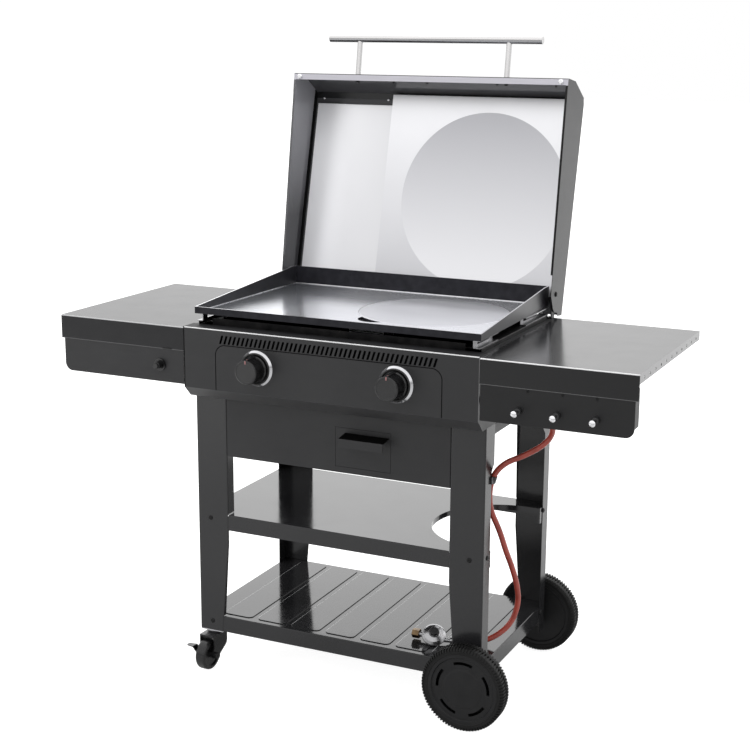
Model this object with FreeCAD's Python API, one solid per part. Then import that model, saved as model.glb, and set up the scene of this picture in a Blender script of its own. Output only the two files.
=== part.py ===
import FreeCAD, Part
import math
import os
from FreeCAD import Vector as V

os.makedirs("parts", exist_ok=True)

# An outdoor gas griddle station: a two-burner griddle with a raised lid on a wheeled steel cart with
# side shelves, a mid shelf cut out for a gas bottle and a bottom shelf.
# Millimetres. X points right, Y back, Z up. Heights are from the floor, and depths are given from the
# control panel's face, so that each solid is moved by MIDDLE at the end: the origin is on the floor
# under the middle of the whole station.

# ---- driving dimensions -------------------------------------------------------------------------
SHEET = 1.2          # folded steel sheet
PLATE = 1.5          # heavier sheet of the legs and the control panel
SEAT = 0.2           # gap between sheets that rest on one another
RUN = 0.3            # gap between bodies that move past one another
FIT = 0.05           # radial clearance of a pin or a shaft in its bore

WIDTH = 740.0        # cart, over the outside of the legs
LEG_FRONT = 49.0     # front legs' face
LEG_REAR = 487.0     # rear legs' face
LEG_TOP = 696.0
LEG_WIDTH = 83.0
LEG_FOOT = 63.0      # leg's width at its bottom
LEG_WAIST = 331.0    # height where a leg starts to narrow
LEG_SIDE = 39.0      # depth of the outer flange
LEG_INNER = 29.0     # front legs' inner flange, above the mid shelf
LEG_INNER_REAR = 16.0  # rear legs' inner flange at its top, from where it tapers to the hem
LEG_HEM = 3.5        # what is left of the inner flanges just below the mid shelf
LEG_HEM_FOOT = 12.0  # and at the front legs' feet
LEG_GUSSET = 15.0    # the outer flange's extra depth at the top
GUSSET_LOW = 604.0
CASTOR_LEG = 100.0   # bottom of the legs that stand on castors
AXLE_LEG = 73.0      # bottom of the legs that carry the axle

BODY_TOP = 864.0
BODY_BACK = 506.0
PANEL_TOP = 866.0
FACE_LOW = 722.0     # bottom of the panel's flat face
CHAMFER = 26.0
PANEL_DEPTH = 46.0
VENT_COUNT = 48
VENT_PITCH = 11.4
VENT_WIDTH = 5.6
VENT_LOW = 833.0
VENT_HIGH = 853.0
VENT_LEAN = 6.5
GROOVE_HALF = 284.0
GROOVE_TOP = 830.0
GROOVE_RADIUS = 25.0

KNOB_X = 175.0
KNOB_Z = 785.0
KNOB_REACH = 52.0
KNOB_R = 28.0
KNOB_PUSH = 4.0
BEZEL_R = 42.0
BEZEL_DEPTH = 9.0
STEM_R = 4.0
MANIFOLD_R = 8.0
MANIFOLD_Y = 28.0
MANIFOLD_Z = 765.0
BURNER_R = 12.0
BURNER_BACK = 430.0

FIREBOX_IN = 52.0    # firebox's side inside the cart's side
FIREBOX_FRONT = PANEL_DEPTH + 0.3
FIREBOX_BACK = 480.0
FIREBOX_FLOOR = 740.0
FIREBOX_RIM = 882.0
SILL = 873.7         # flat sill that the griddle's feet stand on
SILL_IN = 14.0       # sill's edge inside the cart's side

GRIDDLE_FRONT = 34.0
GRIDDLE_BACK = 508.0
GRIDDLE_IN = 11.0    # griddle's front corners inside the cart's sides
GRIDDLE_TAPER = 12.0  # and its back corners inside those
GRIDDLE_WALL = 3.0
GRIDDLE_FLOOR = 895.0
GRIDDLE_LIP = 908.0
GRIDDLE_RISE = 940.0
INSERT_X = 140.0
INSERT_Y = 291.0
INSERT_R = 178.0
INSERT_THICK = 4.0
INSERT_GAP = 0.5
DRAIN_R = 40.0       # lens-shaped drain beside the insert
DRAIN_X = 54.0
DRAIN_Y = 147.0
DRAIN_LAND = 3.0     # steel left between the drain and the insert

HINGE_Y = 504.0
HINGE_Z = 922.0
LID_TILT = 8.5       # degrees past upright when open
LID_IN = 3.5         # lid's side inside the cart's side
LID_REACH = 509.5    # hinge to the front wall
LID_MOUTH = -36.0    # mouth of the lid, from the hinge line
LID_FRONT_TOP = 20.0
LID_CORNER_BACK = 31.5  # sloping front's corner, behind the front wall
LID_CORNER_HIGH = 94.0
LID_SKIN = 61.0      # skin above the hinge line
LID_SKIN_SLOPE = 0.082
LID_SLOPE = 48.5     # where the skin meets the sloping front, behind the front wall
LID_TAIL = -52.0
LID_HEM = 5.5
LID_RIM = 16.0
PIN_R = 4.0
HINGE_NUT_R = 7.0
BUMPER_IN = 17.5     # bumper inside the lid's side
BUMPER_R = 6.5
BUMPER_HIGH = 6.0
HANDLE_HALF = 285.0
HANDLE_R = 10.0
HANDLE_OUT = 92.5    # handle's tube in front of the front wall
HANDLE_LEVEL = -5.0
POST_X = 200.0
POST_R = 7.0
LINER = 1.0
LINER_FRONT = 34.5   # liner's top edge behind the lid's front wall
LINER_LEFT_FRONT = 61.5
LINER_SPLIT = -136.0
LINER_RIGHT_IN = 6.5  # liners' outer edges inside the lid's sides
LINER_LEFT_IN = 12.5
LINER_LOW = -8.0
LINER_LEVEL = 39.0
LINER_LEFT_LEVEL = 47.0
DISH_X = 137.0
DISH_ABOVE = 41.0    # flat liner above the dish, and below it
DISH_BELOW = 2.0
DISH_DEPTH = 12.0

SHELF_END = 718.0
SHELF_BACK = 506.5
SHELF_GAP = 0.3      # shelf to body
SHELF_FOLD = 807.0   # bottom of the shelf's front fold
SHELF_EDGE = 21.0    # depth of the shelf's end and rear flanges
CHEEK = 60.0         # shelf's side behind its front fold tapers over this depth
HOLE_COUNT = 11      # row of holes in the shelf's end flange
HOLE_R = 3.0
HOLE_DROP = 12.0
APRON_LOW = 727.0    # bottom of the panel below the shelf's front
APRON_CORNER = 20.0
APRON_RETURN = 30.0
HOOK_OUT = (89.5, 174.7, 260.1)  # hooks outside the cart's side
HOOK_Z = 758.0
HOOK_BALL_R = 8.0
IGNITER_OUT = 67.0   # igniter outside the cart's side
IGNITER_Z = 768.0
IGNITER_PUSH = 5.0

MID_SHELF = 402.0
MID_APRON = 39.0
SLOT_R = 168.0       # cut-out for a gas bottle
BOTTLE_IN = 35.0     # its middle inside the cart's side
SLOT_Y = 264.0
SLOT_HEM = 13.0
SLOT_RETURN = 5.0    # fold at the apron's ends, either side of the cut-out
LOW_SHELF = 140.0
LOW_APRON = 40.0
PAD_COUNT = 7
PAD_PITCH = 92.0
PAD_WIDTH = 77.0
PAD_RISE = 1.8
PAD_CORNER = 12.0

SKIRT_LOW = 550.0
DRAWER_X = (2.3, 141.0)
DRAWER_Z = (565.0, 657.0)
DRAWER_DEPTH = 250.0
PULL_X = (27.0, 138.0)
PULL_Z = 646.0
PULL_REACH = 37.0
DRAWER_GAP = 0.7
RAIL_LOW = 672.0

WHEEL_R = 100.0
WHEEL_WIDTH = 40.0
WHEEL_IN = 25.0      # axle inside the cart's side
WHEEL_GAP = 13.0     # wheel to leg
HUB_R = 83.0
AXLE_SHORT = 10.0    # axle's end behind the wheel's face
FACE_R = 43.0        # raised middle of the hub's face
HUB_SLOTS = 5        # curved slots in the hub's face
SLOT_IN = 58.0
SLOT_OUT = 65.0
SLOT_SWEEP = 42.0    # degrees
AXLE_R = 5.0
CASTOR_IN = 25.0     # swivel axis inside the cart's side
CASTOR_INSET = 28.0  # swivel axis behind the leg's face
CASTOR_TRAIL = 35.0
CASTOR_TURN = 3.0    # degrees that the castors are swung from straight
CASTOR_R = 37.5
CASTOR_WIDTH = 28.0
CASTOR_PIN_R = 5.0
CASTOR_BOLT_R = 4.0
CASTOR_SEAT = 16.0   # castor's plate behind its swivel axis
RACE_R = 22.0        # bearing between the plate and the fork
NUT_R = 8.0
NUT_HIGH = 4.0
BOLT_HEAD = 9.0      # wheel bolt's head with its washers
FORK_TOP = 86.0
FORK_SHEET = 3.0
FORK_INNER = 18.5    # half the gap between the fork's cheeks
BRAKE_SHEET = 2.0
BRAKE_HIGH = 27.0    # toe plate above the wheel's bolt
BRAKE_TOE = 20.0     # toe plate's reach to the side

HOSE_R = 6.6
HOSE_POINTS = (
    (404, 28, 765), (457, 28, 765), (499, 53, 744), (511, 91, 707), (488, 119, 663), (436, 118, 627),
    (392, 102, 608), (365, 97, 571), (360, 101, 502), (380, 120, 445), (388, 140, 393), (397, 163, 345),
    (402, 186, 295), (401, 204, 244), (385, 199, 189), (347, 170, 156), (304, 149, 150), (268, 136, 151),
)
REGULATOR = (222.0, 124.7, 161.3)  # middle of its rim
REGULATOR_LEAN = (0.257, -0.560, 0.788)  # it lies tipped forwards on its rim
REGULATOR_R = 28.5
NECK_DROP = 7.0      # neck and hose tail below the rim's plane
UNION_R = 11.5       # union nut, over its corners
UNION_BORE = 9.0
UNION_LENGTH = 17.0
CLIP_BEND = 7        # the hose's bend that the clip holds

# ---- worked out from them -----------------------------------------------------------------------
HALF = WIDTH / 2
TILT = math.radians(LID_TILT)
LEG_MIDDLE = (LEG_FRONT + LEG_REAR) / 2
INNER_HALF = HALF - PLATE
FIREBOX_HALF = HALF - FIREBOX_IN
SILL_HALF = HALF - SILL_IN
GRIDDLE_HALF = HALF - GRIDDLE_IN
GRIDDLE_HALF_BACK = GRIDDLE_HALF - GRIDDLE_TAPER
LID_HALF = HALF - LID_IN
LID_BREAK = LID_REACH - LID_SLOPE
LID_CORNER = (LID_REACH - LID_CORNER_BACK, LID_CORNER_HIGH)
BUMPER_X = LID_HALF - BUMPER_IN
HANDLE_REACH = LID_REACH + HANDLE_OUT
LINER_TOP = LID_REACH - LINER_FRONT
LINER_LEFT_TOP = LID_REACH - LINER_LEFT_FRONT
LINER_RIGHT = LID_HALF - LINER_RIGHT_IN
LINER_LEFT = LINER_LEFT_IN - LID_HALF
DISH_R = (LINER_TOP - DISH_ABOVE - LINER_LOW - DISH_BELOW) / 2
DISH_A = LINER_LOW + DISH_BELOW + DISH_R
HOOK_X = [HALF + out for out in HOOK_OUT]
IGNITER_X = -HALF - IGNITER_OUT
SLOT_X = HALF - BOTTLE_IN
INLET_X = HOSE_POINTS[0][0]  # the nozzle's tip is where the hose starts
WHEEL_X = HALF - WHEEL_IN
CASTOR_X = CASTOR_IN - HALF
SHELF_INNER = HALF + SHELF_GAP
GRIDDLE_UNDER = GRIDDLE_FLOOR - GRIDDLE_WALL
FRONT_WHEEL_Y = LEG_FRONT - WHEEL_GAP - WHEEL_WIDTH / 2
REAR_WHEEL_Y = LEG_REAR + WHEEL_GAP + WHEEL_WIDTH / 2
CASTOR_Y = (LEG_FRONT + CASTOR_INSET, LEG_REAR - CASTOR_INSET)


def skin(a):
    """Height of the lid's skin over the hinge line, at distance a from the hinge."""
    return LID_SKIN + LID_SKIN_SLOPE * a


LID_BACK = HINGE_Y + LID_BREAK * math.sin(TILT) + skin(LID_BREAK) * math.cos(TILT)
MIDDLE = V(0, (KNOB_REACH - LID_BACK) / 2, 0)


# ---- tools --------------------------------------------------------------------------------------
def save(name, *solids):
    """One node: its solids, moved to the station's own origin."""
    shape = solids[0] if len(solids) == 1 else Part.makeCompound(list(solids))
    shape = shape.copy()
    shape.translate(MIDDLE)
    shape.exportStep("parts/" + name + ".step")


def box(x0, x1, y0, y1, z0, z1):
    return Part.makeBox(x1 - x0, y1 - y0, z1 - z0, V(x0, y0, z0))


def rod(start, end, radius):
    way = V(*end) - V(*start)
    return Part.makeCylinder(radius, way.Length, V(*start), way)


def tube(start, end, radius, bore):
    """A rod with a bore right through it."""
    return rod(start, end, radius).cut(rod(start, end, bore))


def run_of_edges(corners, closed):
    """Straight edges joined by tangent arcs; each corner is (point, radius)."""
    count = len(corners)
    edges = []
    last = None
    first = None
    for i, (point, radius) in enumerate(corners):
        if radius and (closed or 0 < i < count - 1):
            before = (corners[i - 1][0] - point).normalize()
            after = (corners[(i + 1) % count][0] - point).normalize()
            half = before.getAngle(after) / 2
            start = point + before * (radius / math.tan(half))
            end = point + after * (radius / math.tan(half))
            middle = point + (before + after).normalize() * (radius / math.sin(half) - radius)
            arc = Part.Arc(start, middle, end).toShape()
        else:
            start = end = point
            arc = None
        if last is not None and last.distanceToPoint(start) > 1e-6:
            edges.append(Part.LineSegment(last, start).toShape())
        if arc:
            edges.append(arc)
        first = start if first is None else first
        last = end
    if closed and last.distanceToPoint(first) > 1e-6:
        edges.append(Part.LineSegment(last, first).toShape())
    return Part.Wire(edges)


PLANES = {
    "yz": (lambda u, v, w: V(w, u, v), V(1, 0, 0)),
    "xz": (lambda u, v, w: V(u, w, v), V(0, 1, 0)),
    "xy": (lambda u, v, w: V(u, v, w), V(0, 0, 1)),
}


def prism(plane, outline, start, end):
    """An outline of (u, v) or (u, v, radius) corners in a plane, pushed from start to end across it."""
    place, way = PLANES[plane]
    corners = [(place(c[0], c[1], start), c[2] if len(c) > 2 else 0) for c in outline]
    return Part.Face(run_of_edges(corners, True)).extrude(way * (end - start))


def folded(plane, bends, thickness, start, end, radius=2.0):
    """Sheet bent along an open run of (u, v) bends; its thickness lies on the left of the run."""
    inner = []
    for i, (u, v) in enumerate(bends):
        ways = []
        for a, b in ((i - 1, i), (i, i + 1)):
            if 0 <= a and b < len(bends):
                du, dv = bends[b][0] - bends[a][0], bends[b][1] - bends[a][1]
                length = math.hypot(du, dv)
                ways.append((du / length, dv / length))
        first, last = ways[0], ways[-1]
        turn = math.atan2(first[0] * last[1] - first[1] * last[0], first[0] * last[0] + first[1] * last[1])
        nu, nv = -first[1] - last[1], first[0] + last[0]
        size = math.hypot(nu, nv)
        reach = thickness / math.cos(turn / 2)
        inside = max(radius - thickness, 0.3) if turn > 0 else radius + thickness
        inner.append((u + nu / size * reach, v + nv / size * reach, inside if len(ways) == 2 else 0))
    ends = (0, len(bends) - 1)
    outer = [(u, v, 0 if i in ends else radius) for i, (u, v) in enumerate(bends)]
    return prism(plane, outer + inner[::-1], start, end)


def mirror_x(shape):
    return shape.mirror(V(0, 0, 0), V(1, 0, 0))


def mirror_y(shape):
    """The rear twin of a piece at the front legs."""
    return shape.mirror(V(0, LEG_MIDDLE, 0), V(0, 1, 0))


def spun(profile, centre, way):
    """A solid of revolution: (radius, distance) corners turned about the line from centre along way."""
    corners = [(V(c[0], 0, c[1]), c[2] if len(c) > 2 else 0) for c in profile]
    solid = Part.Face(run_of_edges(corners, True)).revolve(V(0, 0, 0), V(0, 0, 1), 360)
    solid.Placement = FreeCAD.Placement(V(*centre), FreeCAD.Rotation(V(0, 0, 1), V(*way)))
    return solid


def open_lid(shape):
    """From the lid's closed frame, with the hinge line as its origin and the front at -Y, to open."""
    shape = shape.copy()
    shape.rotate(V(0, 0, 0), V(1, 0, 0), -90 - LID_TILT)
    shape.translate(V(0, HINGE_Y, HINGE_Z))
    return shape


# ---- cart ---------------------------------------------------------------------------------------
def leg(bottom, inner_top, inner_low, inner_foot):
    """Front right leg: a tapered U-channel, open to the back, with a gusset at its top.
    Its inner flange is inner_top deep at the top, inner_low above the mid shelf, and a hem below it that
    is inner_foot deep at the foot."""
    outer, inner, foot = HALF, HALF - LEG_WIDTH, HALF - LEG_FOOT
    back = LEG_FRONT + LEG_SIDE
    outside = [(outer, bottom), (outer, LEG_TOP), (inner, LEG_TOP), (inner, LEG_WAIST), (foot, bottom)]
    channel = prism("xz", outside, LEG_FRONT, back)
    long_edges = [
        e for e in channel.Edges
        if abs(e.BoundBox.YMax - LEG_FRONT) < 0.01 and e.BoundBox.ZLength > 50
    ]
    channel = channel.makeFillet(2 * PLATE, long_edges)
    hollow = [
        (outer - PLATE, bottom - 1), (outer - PLATE, LEG_TOP + 1), (inner + PLATE, LEG_TOP + 1),
        (inner + PLATE, LEG_WAIST), (foot + PLATE, bottom - 1),
    ]
    channel = channel.cut(prism("xz", hollow, LEG_FRONT + PLATE, back + 1))
    hem = LEG_FRONT + LEG_HEM
    trim = [
        (LEG_FRONT + inner_top, LEG_TOP + 1), (back + 1, LEG_TOP + 1), (back + 1, bottom - 1),
        (LEG_FRONT + inner_foot, bottom - 1), (hem, LEG_WAIST), (hem, MID_SHELF),
        (LEG_FRONT + inner_low, MID_SHELF + SEAT),
    ]
    channel = channel.cut(prism("yz", trim, inner - 1, foot + 2 * PLATE))
    for top, deep in ((MID_SHELF, MID_APRON), (LOW_SHELF, LOW_APRON)):
        low, high = top - deep - SEAT, top + PAD_RISE + SEAT
        channel = channel.cut(box(inner - 1, foot + 2 * PLATE, LEG_FRONT + PLATE, back, low, high))
    gusset = [
        (back, LEG_TOP), (back + LEG_GUSSET, LEG_TOP), (back + LEG_GUSSET, GUSSET_LOW),
        (back, GUSSET_LOW - LEG_GUSSET),
    ]
    return channel.fuse(prism("yz", gusset, HALF - PLATE, HALF)).removeSplitter()


def axle_hole(shape):
    y0, y1 = LEG_FRONT - 1, LEG_REAR + 1
    return shape.cut(rod((WHEEL_X, y0, WHEEL_R), (WHEEL_X, y1, WHEEL_R), AXLE_R + FIT))


def legs():
    for name, turn, inner in (
        ("front", lambda shape: shape, (LEG_INNER, LEG_INNER, LEG_HEM_FOOT)),
        ("rear", mirror_y, (LEG_INNER_REAR, LEG_HEM, LEG_HEM)),
    ):
        save("leg_" + name + "_left", mirror_x(turn(leg(CASTOR_LEG, *inner))))
        save("leg_" + name + "_right", turn(axle_hole(leg(AXLE_LEG, *inner))))


def tray(top, deep):
    """A shelf turned down on all four sides, seated between the legs' flanges."""
    x, y0, y1 = INNER_HALF, LEG_FRONT + PLATE, LEG_REAR - PLATE
    outside = box(-x, x, y0, y1, top - deep, top)
    rim = [e for e in outside.Edges if e.BoundBox.ZMin > top - 0.01]
    outside = outside.makeFillet(2.0, rim)
    inside = box(-x + SHEET, x - SHEET, y0 + SHEET, y1 - SHEET, top - deep - 1, top - SHEET)
    return outside.cut(inside)


def slot_area(grow, z0, z1):
    """The bottle's cut-out: a half round that runs out through the right-hand edge."""
    radius = SLOT_R + grow
    round_end = Part.makeCylinder(radius, z1 - z0, V(SLOT_X, SLOT_Y, z0))
    way_out = box(SLOT_X, HALF + 1, SLOT_Y - radius, SLOT_Y + radius, z0, z1)
    return round_end.fuse(way_out)


def mid_shelf():
    """The shelf is hemmed round the bottle's cut-out and notched under the front legs' flanges."""
    top, low, bottom = MID_SHELF, MID_SHELF - SLOT_HEM, MID_SHELF - MID_APRON
    shelf = tray(top, MID_APRON).cut(slot_area(0, bottom - 1, top + 1))
    hem = slot_area(SHEET, low, top - SHEET / 2).cut(slot_area(0, low - 1, top + 1))
    hem = hem.common(box(-HALF, INNER_HALF, 0, LEG_REAR, low, top))
    corner = INNER_HALF - SLOT_RETURN
    returns = [
        box(corner, INNER_HALF - SHEET / 2, y, y + SHEET, bottom, top - SHEET / 2)
        for y in (SLOT_Y - SLOT_R - SHEET, SLOT_Y + SLOT_R)
    ]
    shelf = shelf.fuse([hem] + returns).removeSplitter()
    flange = HALF - LEG_WIDTH
    notch = box(flange - RUN, flange + PLATE + RUN, 0, LEG_FRONT + LEG_INNER + RUN, top - 2 * PLATE, top + 1)
    save("mid_shelf", shelf.cut(notch).cut(mirror_x(notch)))


def low_shelf():
    """The bottom shelf, stiffened by long raised pads, and notched over the axle."""
    shelf = tray(LOW_SHELF, LOW_APRON)
    y0, y1 = LEG_FRONT + 19, LEG_REAR - 11
    pads, hollows = [], []
    for i in range(PAD_COUNT):
        x = (i - (PAD_COUNT - 1) / 2) * PAD_PITCH
        for list_, shrink, z0, z1 in (
            (pads, 0, LOW_SHELF - SHEET / 2, LOW_SHELF + PAD_RISE),
            (hollows, SHEET, LOW_SHELF - SHEET - 1, LOW_SHELF + PAD_RISE - SHEET),
        ):
            half = PAD_WIDTH / 2 - shrink
            corner = PAD_CORNER - shrink
            outline = [
                (x - half, y0 + shrink, corner), (x + half, y0 + shrink, corner),
                (x + half, y1 - shrink, corner), (x - half, y1 - shrink, corner),
            ]
            list_.append(prism("xy", outline, z0, z1))
    shelf = shelf.fuse(pads).cut(Part.makeCompound(hollows)).removeSplitter()
    notch = AXLE_R + RUN
    shelf = shelf.cut(box(WHEEL_X - notch, WHEEL_X + notch, 0, LEG_REAR, 0, WHEEL_R))
    shelf = shelf.cut(rod((WHEEL_X, 0, WHEEL_R), (WHEEL_X, LEG_REAR, WHEEL_R), notch))
    save("bottom_shelf", shelf)


def skirt():
    """The panel between the front legs, with the drawer's opening and a flange at each end."""
    x = HALF - LEG_WIDTH - SEAT / 2
    y = LEG_FRONT
    bends = [(-x, y + 25), (-x, y), (x, y), (x, y + 25)]
    panel = folded("xy", bends, SHEET, SKIRT_LOW, LEG_TOP)
    flange = box(-x + SHEET, x - SHEET, y + SHEET, y + 20, LEG_TOP - SHEET, LEG_TOP)
    flange = flange.cut(box(DRAWER_X[0], DRAWER_X[1], y + SHEET, y + 21, LEG_TOP - 5, LEG_TOP + 1))
    gap = DRAWER_GAP
    opening = box(
        DRAWER_X[0] - gap, DRAWER_X[1] + gap, y - 1, y + 10, DRAWER_Z[0] - gap, DRAWER_Z[1] + gap
    )
    save("front_skirt", panel.fuse(flange).removeSplitter().cut(opening))


def top_rails():
    """Rails that tie the legs together under the body, on both sides and at the back."""
    y0 = LEG_FRONT + LEG_SIDE + LEG_GUSSET + SEAT
    y1 = LEG_REAR - LEG_SIDE - LEG_GUSSET - SEAT
    top = LEG_TOP
    side = folded("xz", [(HALF - 15, top), (HALF, top), (HALF, RAIL_LOW)][::-1], PLATE, y0, y1)
    x = HALF - LEG_WIDTH - SEAT
    back = folded("yz", [(LEG_REAR - 20, top), (LEG_REAR, top), (LEG_REAR, RAIL_LOW)][::-1], PLATE, -x, x)
    save("top_rails", side, mirror_x(side), back)


# ---- body ---------------------------------------------------------------------------------------
def control_panel():
    """The front: one folded sheet with end caps, a row of slanted vents and a pressed groove."""
    run = [
        (PANEL_DEPTH, PANEL_TOP), (0, PANEL_TOP), (0, FACE_LOW), (CHAMFER, LEG_TOP),
        (PANEL_DEPTH, LEG_TOP),
    ]
    front = folded("yz", run, PLATE, -HALF, HALF)
    cap = prism("yz", [(u, v, 2.0 if 0 < i < 4 else 0) for i, (u, v) in enumerate(run)], HALF - PLATE, HALF)
    panel = front.fuse([cap, mirror_x(cap)]).removeSplitter()
    middle = (VENT_COUNT - 1) / 2
    slots = []
    for i in range(VENT_COUNT):
        x = (i - middle) * VENT_PITCH
        lean = VENT_LEAN / 2
        half = VENT_WIDTH / 2
        outline = [
            (x - lean - half, VENT_LOW), (x - lean + half, VENT_LOW),
            (x + lean + half, VENT_HIGH), (x + lean - half, VENT_HIGH),
        ]
        slots.append(prism("xz", outline, -1, PLATE + 1))
    line, depth = 0.7, 0.7
    frames = []
    for grow in (line, -line):
        half, top, radius = GROOVE_HALF + grow, GROOVE_TOP + grow, GROOVE_RADIUS + grow
        arch = [(-half, LEG_TOP), (half, LEG_TOP), (half, top, radius), (-half, top, radius)]
        frames.append(prism("xz", arch, -1, depth))
    groove = frames[0].cut(frames[1])
    for side in (-1, 1):
        x = side * KNOB_X
        slots.append(rod((x, -1, KNOB_Z), (x, PLATE + 1, KNOB_Z), STEM_R + 3))
    slots.append(
        rod((HALF - 5, MANIFOLD_Y, MANIFOLD_Z), (HALF + 5, MANIFOLD_Y, MANIFOLD_Z), MANIFOLD_R + SEAT)
    )
    save("control_panel", panel.cut(Part.makeCompound(slots)).cut(groove))


def body_shell():
    """Sides and back of the body in one wrap, with a ledge round the top."""
    y0 = PANEL_DEPTH + SEAT
    x, back = HALF, BODY_BACK
    wrap = folded("xy", [(-x, y0), (-x, back), (x, back), (x, y0)][::-1], PLATE, LEG_TOP, BODY_TOP)
    ledge = 20.0
    top = box(-x + 0.7, x - 0.7, y0, back - 0.7, BODY_TOP - PLATE, BODY_TOP)
    top = top.cut(box(-x + ledge, x - ledge, y0 - 1, back - ledge, BODY_TOP - 5, BODY_TOP + 5))
    save("body_shell", wrap.fuse(top).removeSplitter())


def chute_outline(z, grow=0.0):
    """The grease chute's section at height z: it narrows from the drain to the drawer."""
    high, low = GRIDDLE_UNDER - 4, DRAWER_Z[1] - 7
    t = (z - low) / (high - low)
    x0, x1 = 33 - 28 * t - grow, 75 + 22 * t + grow
    y0, y1 = 112 - 4 * t - grow, 150 + 14 * t + grow
    return Part.makePolygon([V(x0, y0, z), V(x1, y0, z), V(x1, y1, z), V(x0, y1, z), V(x0, y0, z)])


def heat_shield():
    """The body's floor, open where the grease chute passes."""
    x, y0, y1 = INNER_HALF - SEAT, PANEL_DEPTH + 2 * SEAT, BODY_BACK - PLATE - SEAT
    z = LEG_TOP + PLATE + SEAT
    shield = box(-x, x, y0, y1, z, z + SHEET)
    hole = Part.Face(chute_outline(z, 1.0)).extrude(V(0, 0, SHEET))
    shield = shield.cut(hole)
    slots = [
        box(side * 180 - 60, side * 180 + 60, y, y + 12, z - 1, z + 3)
        for side in (-1, 1) for y in (150, 250, 350)
    ]
    save("heat_shield", shield.cut(Part.makeCompound(slots)))


def firebox():
    """The tray that holds the burners, with a flat sill on each side for the griddle's feet."""
    x, y0, y1, z0 = FIREBOX_HALF, FIREBOX_FRONT, FIREBOX_BACK, FIREBOX_FLOOR
    outside = box(-x, x, y0, y1, z0, FIREBOX_RIM)
    inside = box(-x + SHEET, x - SHEET, y0 + SHEET, y1 - SHEET, z0 + SHEET, FIREBOX_RIM + 1)
    tray_ = outside.cut(inside)
    notch = box(-x - 1, x + 1, y0 + SHEET, y1 - SHEET, SILL, FIREBOX_RIM + 1)
    tray_ = tray_.cut(notch.cut(box(-x + SHEET, x - SHEET, 0, 600, 0, 1000)))
    sill = folded(
        "xz", [(x - SHEET, SILL), (SILL_HALF, SILL), (SILL_HALF, BODY_TOP + SEAT)][::-1], SHEET, y0, y1
    )
    box_ = tray_.fuse([sill, mirror_x(sill)]).removeSplitter()
    holes = [
        rod((s * KNOB_X, y0 - 1, KNOB_Z), (s * KNOB_X, y0 + 3, KNOB_Z), BURNER_R + SEAT) for s in (-1, 1)
    ]
    holes.append(Part.Face(chute_outline(z0 - 1, 0.7)).extrude(V(0, 0, 4)))
    save("firebox", box_.cut(Part.makeCompound(holes)))


def burners():
    """Tube burners with a row of ports along each side, each on a foot at its back end."""
    for name, side in (("left", -1), ("right", 1)):
        x, z = side * KNOB_X, KNOB_Z
        burner = tube((x, MANIFOLD_Y + 17, z), (x, BURNER_BACK - 3, z), BURNER_R, BURNER_R - SHEET)
        burner = burner.fuse(rod((x, BURNER_BACK - 3, z), (x, BURNER_BACK, z), BURNER_R))
        ports = [
            rod((x - 20, y, z + 5), (x + 20, y, z + 5), 2.0) for y in range(120, int(BURNER_BACK) - 20, 40)
        ]
        burner = burner.cut(Part.makeCompound(ports))
        foot = box(x - 8, x + 8, BURNER_BACK - 3, BURNER_BACK, FIREBOX_FLOOR + SHEET + SEAT, z)
        save("burner_" + name, burner.fuse(foot).removeSplitter())


def manifold():
    """The gas rail behind the panel with its two valves and, at the right, the hose nozzle."""
    y, z = MANIFOLD_Y, MANIFOLD_Z
    rail = rod((-KNOB_X - 25, y, z), (HALF + 4, y, z), MANIFOLD_R)
    nozzle = spun(
        [(0, 0), (9, 0), (9, 8), (5.4, 8), (6.2, 14), (5.2, 15), (5.8, 21), (5.0, 22), (5.0, 30), (0, 30)],
        (INLET_X - 30, y, z), (1, 0, 0),
    )
    pieces = [nozzle]
    for side in (-1, 1):
        x = side * KNOB_X
        valve = box(x - 12, x + 12, y - 12, y + 12, z - 4, KNOB_Z + 13)
        valve = valve.fuse(rod((x, y + 12, KNOB_Z), (x, y + 28, KNOB_Z), 4.5))
        pieces.append(valve)
    rail = rail.fuse(pieces).removeSplitter()
    bores = [
        rod((s * KNOB_X, y - 13, KNOB_Z), (s * KNOB_X, y + 8, KNOB_Z), STEM_R + FIT) for s in (-1, 1)
    ]
    save("gas_manifold", rail.cut(Part.makeCompound(bores)))


# ---- knobs --------------------------------------------------------------------------------------
def bezels():
    rings = []
    for side in (-1, 1):
        profile = [
            (STEM_R + 3, 0), (BEZEL_R, 0), (BEZEL_R, 1.5), (BEZEL_R - 7, BEZEL_DEPTH, 1.0),
            (BEZEL_R - 9, BEZEL_DEPTH - 1.5), (BEZEL_R - 9, 1.2), (STEM_R + 3, 1.2),
        ]
        rings.append(spun(profile, (side * KNOB_X, 0, KNOB_Z), (0, -1, 0)))
    save("knob_bezels", *rings)


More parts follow.
